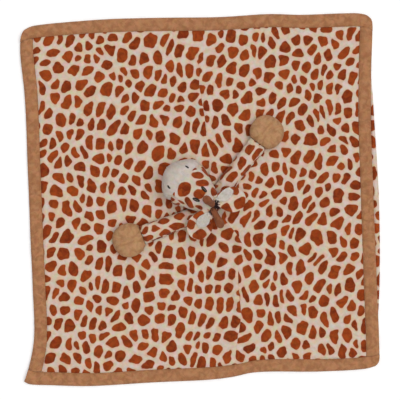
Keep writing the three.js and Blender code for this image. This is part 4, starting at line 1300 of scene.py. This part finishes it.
def strand_tree():
    """Bent strands that stand on a surface, each thinner towards its tip."""
    tree, given, out = shape_tree("strands", {
        "Length": 0.002, "Bend": 0.0008, "Spread": 0.6, "Strand Radius": 0.00006, "Taper": 0.8,
        "Density": 1e6, "Seed": 1,
    })
    sown = add_node(tree, "GeometryNodeDistributePointsOnFaces", {
        "Mesh": given["Geometry"], "Density": given["Density"], "Seed": given["Seed"],
    })
    line = add_node(tree, "GeometryNodeCurveQuadraticBezier", {
        "Resolution": 5, "Start": (0, 0, 0), "Middle": vector(tree, Z=times(tree, given["Length"], 0.7)),
        "End": vector(tree, X=given["Bend"], Z=given["Length"]),
    })
    lean = times(tree, given["Spread"], -1.0)
    turn = add_node(tree, "FunctionNodeRandomValue", {
        0: vector(tree, X=lean, Y=lean, Z=-3.1416),
        1: vector(tree, X=given["Spread"], Y=given["Spread"], Z=3.1416), "Seed": given["Seed"],
    }, data_type="FLOAT_VECTOR")
    aim = add_node(tree, "FunctionNodeRotateRotation", {
        "Rotation": sown.outputs["Rotation"], "Rotate By": turn.outputs[0],
    }, rotation_space="LOCAL")
    stood = add_node(tree, "GeometryNodeInstanceOnPoints", {
        "Points": sown.outputs["Points"], "Instance": line.outputs[0], "Rotation": aim.outputs[0],
        "Scale": random_size(tree, 0.6, 1.15, given["Seed"]),
    })
    reach = add_node(tree, "GeometryNodeSplineParameter").outputs["Factor"]
    thin = calculate(tree, "SUBTRACT", 1.0, times(tree, reach, given["Taper"]))
    return end_with_threads(tree, given, out, stood, times(tree, given["Strand Radius"], thin), 4)


strands = strand_tree()


def grid_base(name, places):
    """An open mesh over a grid of places, for things to grow on."""
    squares = grid_faces(np.arange(places[..., 0].size).reshape(places.shape[:2]))
    base = bpy.data.meshes.new(name)
    base.from_pydata((places.reshape(-1, 3) * MM).tolist(), [], squares.tolist())
    if base.polygons[len(squares) // 2].normal.z < 0:
        base.flip_normals()
    return base


def leaf(name, side, outs, across, thickness, base_height, material, start=(0, 0)):
    """A leaf of cloth on an ear, rounded over at its edge, and the places and heights of its middle."""
    places = ear_places(side, outs, across)
    from_side = 1 - np.abs(np.linspace(-1, 1, across.shape[1]))[None, :]
    from_tip = (outs.max() - outs) / 3 + 0.02
    rim = np.minimum(np.minimum(from_side, from_tip), leaf_rim) / leaf_rim
    round_over = thickness * (0.12 + 0.88 * np.sqrt(1 - (1 - np.clip(rim, 0, 1)) ** 2)) / 2
    height = places[..., 2] + base_height
    cloth = np.stack([across + start[0], outs + 0 * across + start[1]], -1)
    made = sheet_piece(name, places, height - round_over, height + round_over, cloth, material)
    return made, places, height


for side, ear in ears.items():
    angle, pivot = math.radians(ear["points"]), np.array(ear["pivot"])
    way = turned(np.array([math.cos(angle), math.sin(angle), 0]), head_turn, (0, 0))
    fold = {"start": tuple((pivot - way) * MM), "end": tuple((pivot + 6 * way) * MM)}
    flip = -1 if ear["side"] > 0 else 1
    outs = ear_length * 0.997 * np.sin(np.linspace(-0.06, np.pi / 2, 26))[:, None]
    shares = np.sin(np.linspace(-np.pi / 2, np.pi / 2, 25))[None, :] * flip
    across = shares * ear_half_width(outs)
    back, *_ = leaf(
        f"{side}_ear_leaf", side, outs, across, cloth_thickness, -cloth_thickness / 2,
        print_velour, leaf_cloth,
    )
    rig.blend(back, "head", f"{side}_ear", **fold)
    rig.replaces(back, f"{side}_ear_back")
    leaf_area = 0.8 * ear_width * ear_length * MM * MM
    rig.sheet(back, flat=(ear_width * MM, ear_length * MM), area=leaf_area, held="gathered")
    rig.slot(back, "print_plush")
    turns = np.linspace(0.06, np.pi - 0.06, 22)[:, None]
    outs = lining_start + lining_length * (1 - np.cos(turns)) / 2
    run = (outs - lining_start) / lining_length
    across = ear["aside"] + ear["lean"] * outs + shares * lining_width / 2 * np.sin(np.pi * run**1.3) ** 0.6
    lining, places, height = leaf(
        f"{side}_ear_lining_pad", side, outs, across, lining_thickness, 0.3 + lining_thickness / 2,
        white_plush,
    )
    base = grid_base(f"{side}_ear_fluff", np.dstack([places[..., :2], height + 0.35]))
    fluff = grown(
        f"{side}_ear_fluff", base, strands, white_plush, Length=fluff_length * MM, Bend=fluff_bend * MM,
        Spread=fluff_spread, Strand_Radius=fluff_radius * MM, Taper=0.8, Density=fluff_density * 1e6,
        Seed=5 + flip,
    )
    for piece in (lining, fluff):
        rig.blend(piece, "head", f"{side}_ear", **fold)
        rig.replaces(piece, f"{side}_ear_lining")
        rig.slot(piece, "white_plush")
    lining_flat = (lining_width * MM, lining_length * MM)
    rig.sheet(lining, flat=lining_flat, held="laid", rests_on=[back], with_pieces=[fluff])

# The horns: two small stuffed tubes of brown velour with a round knob at the end. The right one
# stands over the brow, and the left one has flopped back.
horn_length, horn_root, horn_waist, horn_knob = 21.0, 3.3, 3.5, 4.5
horn_cells, horn_take_in, horn_hold, horn_hold_below = 13, 0.35, 0.9, -0.75
horns = {
    "left": {
        "along": 0.031, "side": 0.55, "lean": (-0.84, 0.36, 0.32), "bend": -0.75, "tail": 3.2,
        "pivot": (13.512, -12.38, 32.875),
    },
    "right": {
        "along": 0.12, "side": -0.06, "lean": (0.42, 0.0, 0.9), "bend": -0.2, "tail": 0.0,
        "pivot": (10.99, -4.109, 38.603),
    },
}
light_brown, dark_brown = (0.285, 0.096, 0.043, 1), (0.18, 0.057, 0.024, 1)
brown_velour = velour("brown_velour", light_brown, dark_brown, sheen=0.12)


def horn_points(horn, ways, take_in):
    """Points of a horn under each direction of a ball."""
    along = head_back + horn["along"] * (head_front - head_back)
    aside = horn["side"] * head_sizes(along)[0]
    root = on_head(along, aside, root_out) + head_outward(along, aside) * horn_root
    first = np.array(horn["lean"]) / np.linalg.norm(horn["lean"])
    last = first + np.array([0, 0, horn["bend"]])
    last /= np.linalg.norm(last)
    reach = horn_length - horn_root - horn_knob
    knee, tip = root + first * reach / 2, root + (first + last) * reach / 2
    level = np.array([-first[1], first[0], 0]) / np.hypot(first[0], first[1])
    tail = horn["tail"]
    gone = -horn_root - tail + (horn_length + tail) * (1 + ways[:, 0]) / 2
    t = np.clip(gone / reach, 0, 1)[:, None]
    centre = (1 - t) ** 2 * root + 2 * t * (1 - t) * knee + t**2 * tip
    forward = (1 - t) * (knee - root) + t * (tip - knee)
    forward /= np.linalg.norm(forward, axis=1)[:, None]
    centre += forward * (gone - np.clip(gone, 0, reach))[:, None]
    radius = horn_waist + (horn_knob - horn_waist) * ease(t[:, 0], 0.3, 0.95)
    past = np.where(gone < 0, np.minimum(gone + tail, 0) / horn_root, np.maximum(gone - reach, 0) / horn_knob)
    radius = radius * np.sqrt(np.clip(1 - past**2, 0, 1)) * (1 - take_in / horn_root)
    angle = np.arctan2(ways[:, 2], ways[:, 1])
    up = np.cross(forward, level)
    up /= np.linalg.norm(up, axis=1)[:, None]
    points = centre + (level * np.cos(angle)[:, None] + up * np.sin(angle)[:, None]) * radius[:, None]
    cloth = np.column_stack([gone, angle * horn_root])
    return turned(points, head_turn, head_place), cloth, turned(first, head_turn, (0, 0))


for side, horn in horns.items():
    ways, faces = ball(horn_cells)
    points, cloth, lean = horn_points(horn, ways, horn_take_in)
    held = horn_hold * (ways[:, 0] < horn_hold_below)
    points = stuffed(points, faces, held, cap=0.5, grow=0.05, pressure=3.0)
    tube = pouch(f"{side}_horn_tube", points, faces, cloth[np.concatenate(faces)], brown_velour, wall=0)
    pivot = np.array(horn["pivot"])
    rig.blend(tube, "head", f"{side}_horn", start=tuple(pivot * MM), end=tuple((pivot + lean * 8) * MM))
    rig.replaces(tube, f"{side}_horn")
    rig.padded(tube, fill=0.7)
    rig.slot(tube, "brown_plush")

# Two small bunches of cut dark yarn, sewn to the crown on both sides of the horns' base, which make
# the crown dark there. Each bunch is from where to where along the head, and from where to where aside.
tuft_bunches = [(-8.2, -4.6, -6.4, -1.4), (-8.4, -6.4, 3.4, 5.4)]
yarn_length, yarn_bend, yarn_spread, yarn_radius, yarn_density = 4.0, 2.6, 1.1, 0.42, 6.0
yarn_light, yarn_dark = (0.045, 0.014, 0.013, 1), (0.012, 0.003, 0.005, 1)
yarn = thread_material("dark_yarn", yarn_light, yarn_dark, 0.85)
shape = bmesh.new()
for low, high, inner, outer in tuft_bunches:
    rows, columns = np.meshgrid(np.linspace(low, high, 5), np.linspace(inner, outer, 5), indexing="ij")
    bunch = np.array([[on_head(a, b, 1.0) for a, b in zip(*row)] for row in zip(rows, columns)])
    shape.from_mesh(grid_base("bunch", turned(bunch, head_turn, head_place)))
base = bpy.data.meshes.new("mane_tuft_yarn")
shape.to_mesh(base)
shape.free()
tuft = grown(
    "mane_tuft_yarn", base, strands, yarn, Length=yarn_length * MM, Bend=yarn_bend * MM, Spread=yarn_spread,
    Strand_Radius=yarn_radius * MM, Taper=0.25, Density=yarn_density * 1e6, Seed=4,
)
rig.ride(tuft, "head")
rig.replaces(tuft, "mane_tuft")
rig.slot(tuft, "dark_yarn")

# The neck: a short printed tube, gathered where it is sewn to the blanket and to the head above it.
neck_radius, neck_top = 9.5, 20.5
gathers, gather_depth = 15, 0.4
neck_still, neck_turning = (0.008, -0.0025, 0.007), (0.008, -0.0025, 0.017)


def neck_rings(radius, low, rings, sides):
    """Rings of the neck, which flares at both ends and follows the underside of the head at its top."""
    angles = np.linspace(0, 2 * np.pi, sides, endpoint=False)
    made = []
    for share in np.linspace(0, 1, rings):
        flare = 1.5 * math.exp(-share * 9) + 0.5 * math.exp(-(1 - share) * 7)
        ruffle = gather_depth * np.cos(gathers * angles + 2 * share) * (1 - 0.6 * math.sin(math.pi * share))
        reach = radius + flare + ruffle
        x, y = head_place[0] + np.cos(angles) * reach, head_place[1] + np.sin(angles) * reach
        for a, b in zip(x, y):
            hit = head_skin.ray_cast(Vector((a, b, 4)) * MM, Vector((0, 0, 1)))[0]
            top = min(hit.z / MM - 0.3, neck_top) if hit else neck_top
            made.append((a, b, low + (top - low) * share))
    return np.reshape(made, (rings, sides, 3)), angles


def tube_faces(rings, sides):
    spots = np.arange(rings * sides).reshape(rings, sides)
    return grid_faces(np.hstack([spots, spots[:, :1]]))


def closed_tube(rings):
    """Points and faces of a tube through rings of points, closed at both ends."""
    count, sides = rings.shape[:2]
    points = np.vstack([rings.reshape(-1, 3), rings[0].mean(0), rings[-1].mean(0)])
    middle, last_ring = count * sides, (count - 1) * sides
    faces = tube_faces(count, sides).tolist()
    faces += [[(i + 1) % sides, i, middle] for i in range(sides)]
    faces += [[last_ring + i, last_ring + (i + 1) % sides, middle + 1] for i in range(sides)]
    return points, faces


rings, angles = neck_rings(neck_radius - 0.4, blanket_top + 0.15, 12, 90)
points, faces = rings.reshape(-1, 3), tube_faces(12, 90)
spot_angle = np.tile(angles, 12)[faces]
spot_angle = spot_angle + 2 * np.pi * (spot_angle < spot_angle.max(1, keepdims=True) - np.pi)
cloth = np.stack([spot_angle * neck_radius, points[faces][..., 2]], -1).reshape(-1, 2)
neck = pouch("neck_tube", points, faces.tolist(), cloth, print_velour)
rings, angles = neck_rings(neck_radius - filling_take_in, blanket_top + 0.8, 6, 24)
rings[..., 2] -= np.linspace(0, 0.8, 6)[:, None]
neck_wadding = wad("neck_wadding", *closed_tube(rings), 2.0)
neck_parts = ((neck, "neck_sleeve", "print_plush"), (neck_wadding, "neck_filling", "fibrefill"))
for piece, node, finish in neck_parts:
    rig.blend(piece, "neck", "head", start=neck_still, end=neck_turning)
    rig.replaces(piece, node)
    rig.padded(piece, fill=0.6)
    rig.slot(piece, finish)

# The arms: each is a printed tube of two panels, stuffed loosely and sewn into the neck seam, with a
# round paw of tan velour at its end. The seams along the tube and round the wrist draw the cloth in.
arm_width, arm_height, arm_length = 20.5, 13.4, 67.0
paw_start, paw_length, paw_width, paw_height, paw_tip_rise = 67.3, 30.0, 33.5, 15.5, 0.4
arm_shares = [
    (0, 0.8, 0.7), (0.12, 0.86, 0.86), (0.3, 0.93, 0.97), (0.5, 0.97, 1), (0.75, 1, 1), (0.92, 1, 0.95),
    (1, 0.97, 0.86),
]
paw_shares = [
    (0, 0.62, 0.74), (0.07, 0.74, 0.84), (0.2, 0.91, 0.94), (0.38, 1, 1), (0.6, 0.98, 0.98),
    (0.78, 0.83, 0.84), (0.9, 0.62, 0.62), (0.97, 0.36, 0.37), (1, 0, 0),
]
light_sand, dark_sand = (0.487, 0.265, 0.129, 1), (0.348, 0.172, 0.079, 1)
sand_velour = velour("sand_velour", light_sand, dark_sand, pile=1.2)
# Where an arm starts from the neck's middle, and from where to where along it the cloth bends
arm_root, shoulder_bend, wrist_bend, bend_height = 9.85, (13, 34), (66, 79), 10
arm_cells, arm_filling_cells, paw_cells, paw_filling_cells = (49, 40), (20, 20), 17, 9
cover_take_in, arm_filling_take_in, filling_short = 0.5, 3.0, 1.5
arms = {
    "left": {"root": 251.0, "points": 200.5, "seam": 1, "cloth": (20.0, 150.0)},
    "right": {"root": 36.0, "points": 52.0, "seam": -1, "cloth": (171.0, 33.0)},
}
seam_angle, under_seam_angle, seam_reach = math.radians(24), 0.15, 0.12
arm_girth, paw_girth = 8.6, 0.504
paw_opening = -0.785
dimple_place, dimple_length, dimple_width, dimple_depth = 81.5, 4.5, 1.6, 1.1


def arm_middle(along, half_height=0.0):
    return limb_under + half_height


def paw_middle(along, half_height=0.0):
    return limb_under + half_height + (paw_height / 2 - half_height) * paw_tip_rise


def arm_form(take_in):
    return soft_form(
        arm_shares, 0, arm_length, arm_width - 2 * take_in, arm_height - 2 * take_in,
        lambda along, half: arm_middle(along, half + take_in),
    )


def paw_form(take_in):
    return soft_form(
        paw_shares, paw_start, paw_length - take_in, paw_width - 2 * take_in, paw_height - 2 * take_in,
        lambda along, half: paw_middle(along, half + take_in),
    )


def arm_tube(take_in, cells, low, high):
    """Rings of points of an arm, their angles, and its half heights. Its root wraps round the neck."""
    rings, sides = cells
    point, sizes = arm_form(take_in)
    angles = np.tile(np.linspace(0, 2 * np.pi, sides, endpoint=False), rings)
    points = point(np.repeat(np.linspace(low, high, rings), sides), angles)
    hollow = neck_radius + 0.5
    wrap = hollow - np.sqrt(np.maximum(hollow**2 - points[:, 1] ** 2, 0))
    points[:, 0] -= wrap * np.clip(1 - (points[:, 0] - low) / 12, 0, 1)
    return points, angles, sizes(points[:, 0])[1]


def bend_places(arm, place, low, high):
    """Where the cloth starts and ends to bend, from its places along the arm."""
    ends = (turned(np.array([along, 0, bend_height]), arm["points"], place) * MM for along in (low, high))
    return dict(zip(("start", "end"), map(tuple, ends)))


def sewn_at(angle, seam):
    away = np.abs((angle - seam + np.pi) % (2 * np.pi) - np.pi)
    return fallen(away, 1, seam_reach)


for side, arm in arms.items():
    root = math.radians(arm["root"])
    place = (head_place[0] + arm_root * math.cos(root), head_place[1] + arm_root * math.sin(root))
    points, angle, half_height = arm_tube(cover_take_in, arm_cells, 0.3, arm_length)
    faces = tube_faces(*arm_cells).tolist()
    upper = seam_angle if arm["seam"] > 0 else np.pi - seam_angle
    lower = np.pi + under_seam_angle if arm["seam"] > 0 else -under_seam_angle
    sewn = np.maximum(sewn_at(angle, upper), sewn_at(angle, lower))
    row, last = np.repeat(np.arange(arm_cells[0]), arm_cells[1]), arm_cells[0] - 1
    at_end = (row == 0) | (row == last)
    gather = 0.25 * (1 + np.cos(9 * angle)) * (np.exp(-row / 5) + np.exp(-(last - row) / 2.5))
    shaped = drawn_in(points, 0.7 * sewn + gather, arm_middle(points[:, 0], half_height + cover_take_in))
    full = stuffed(shaped, faces, np.maximum(at_end * 1.0, 0.5 * (sewn > 0.6)), cap=1.2, grow=0.07)
    sizes = arm_form(cover_take_in)[1]
    cloth = round_cloth(
        points, faces, lambda x: arm_girth + 0 * x, lambda x: arm_middle(x, sizes(x)[1] + cover_take_in),
        seams=sorted((math.pi / 2 - upper, math.pi / 2 - lower)),
    )[:, ::-1] + arm["cloth"]
    tube = pouch(f"{side}_arm_tube", turned(full, arm["points"], place), faces, cloth, print_velour)
    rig.replaces(tube, f"{side}_shoulder_cover", f"{side}_arm_cover")
    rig.slot(tube, "print_plush")
    points = arm_tube(arm_filling_take_in, arm_filling_cells, filling_short, arm_length - 1.2)[0]
    rings = turned(points, arm["points"], place).reshape(*arm_filling_cells, 3)
    arm_wadding = wad(f"{side}_arm_wadding", *closed_tube(rings), 3.0)
    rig.replaces(arm_wadding, f"{side}_shoulder_filling", f"{side}_arm_filling")
    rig.slot(arm_wadding, "fibrefill")
    for piece in (tube, arm_wadding):
        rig.blend(piece, "neck", f"{side}_arm", **bend_places(arm, place, *shoulder_bend))
        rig.padded(piece, fill=0.55)

    ways, faces = ball(paw_cells, open_at=paw_opening)
    ways[:, 0] = 2 * (ways[:, 0] - paw_opening) / (1 - paw_opening) - 1
    form = paw_form(cover_take_in)
    points = on_form(form, paw_start, paw_length - cover_take_in, ways)
    middle = paw_middle(0, form[1](points[:, 0])[1] + cover_take_in)
    past_wrist = np.maximum(points[:, 0] - paw_start, 0)
    # A stitch on top pulls a dimple into the paw, and a seam runs round its sides
    from_dimple = ((points[:, 0] - dimple_place) / dimple_length) ** 2 + (points[:, 1] / dimple_width) ** 2
    dimple = dimple_depth * np.exp(-from_dimple) * (points[:, 2] > middle)
    round_seam = fallen(points[:, 2] - middle, 0.55, 0.9)
    turn = np.arctan2(points[:, 2] - middle, points[:, 1])
    gather = 0.3 * (1 + np.cos(11 * turn)) * np.exp(-past_wrist / 2.5)
    shaped = drawn_in(points, gather + round_seam * (past_wrist > 3), middle)
    shaped[:, 2] -= dimple
    sewn = np.maximum(1.0 * (past_wrist < 0.2), 0.85 * (dimple > 0.7))
    full = stuffed(shaped, faces, sewn, cap=1.3, grow=0.07)
    cloth = round_cloth(
        points, faces, lambda x: paw_girth * sum(form[1](x)),
        lambda x: paw_middle(x, form[1](x)[1] + cover_take_in),
    )
    paw = pouch(f"{side}_paw_pad", turned(full, arm["points"], place), faces, cloth, sand_velour)
    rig.replaces(paw, f"{side}_paw_cover")
    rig.slot(paw, "tan_plush")
    ways, faces = ball(paw_filling_cells)
    length = paw_length - filling_short - filling_take_in
    points = on_form(paw_form(filling_take_in), paw_start + filling_short, length, ways)
    paw_wadding = wad(f"{side}_paw_wadding", turned(points, arm["points"], place), faces, 4.0)
    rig.replaces(paw_wadding, f"{side}_paw_filling")
    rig.slot(paw_wadding, "fibrefill")
    for piece in (paw, paw_wadding):
        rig.blend(piece, f"{side}_arm", f"{side}_paw", **bend_places(arm, place, *wrist_bend))
        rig.padded(piece, fill=0.7)

with open("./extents.json", "w") as out:
    boxes = {"cad": cad_box, "visual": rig.bounds()}
    json.dump({key: [[float(v) for v in corner] for corner in box] for key, box in boxes.items()}, out)
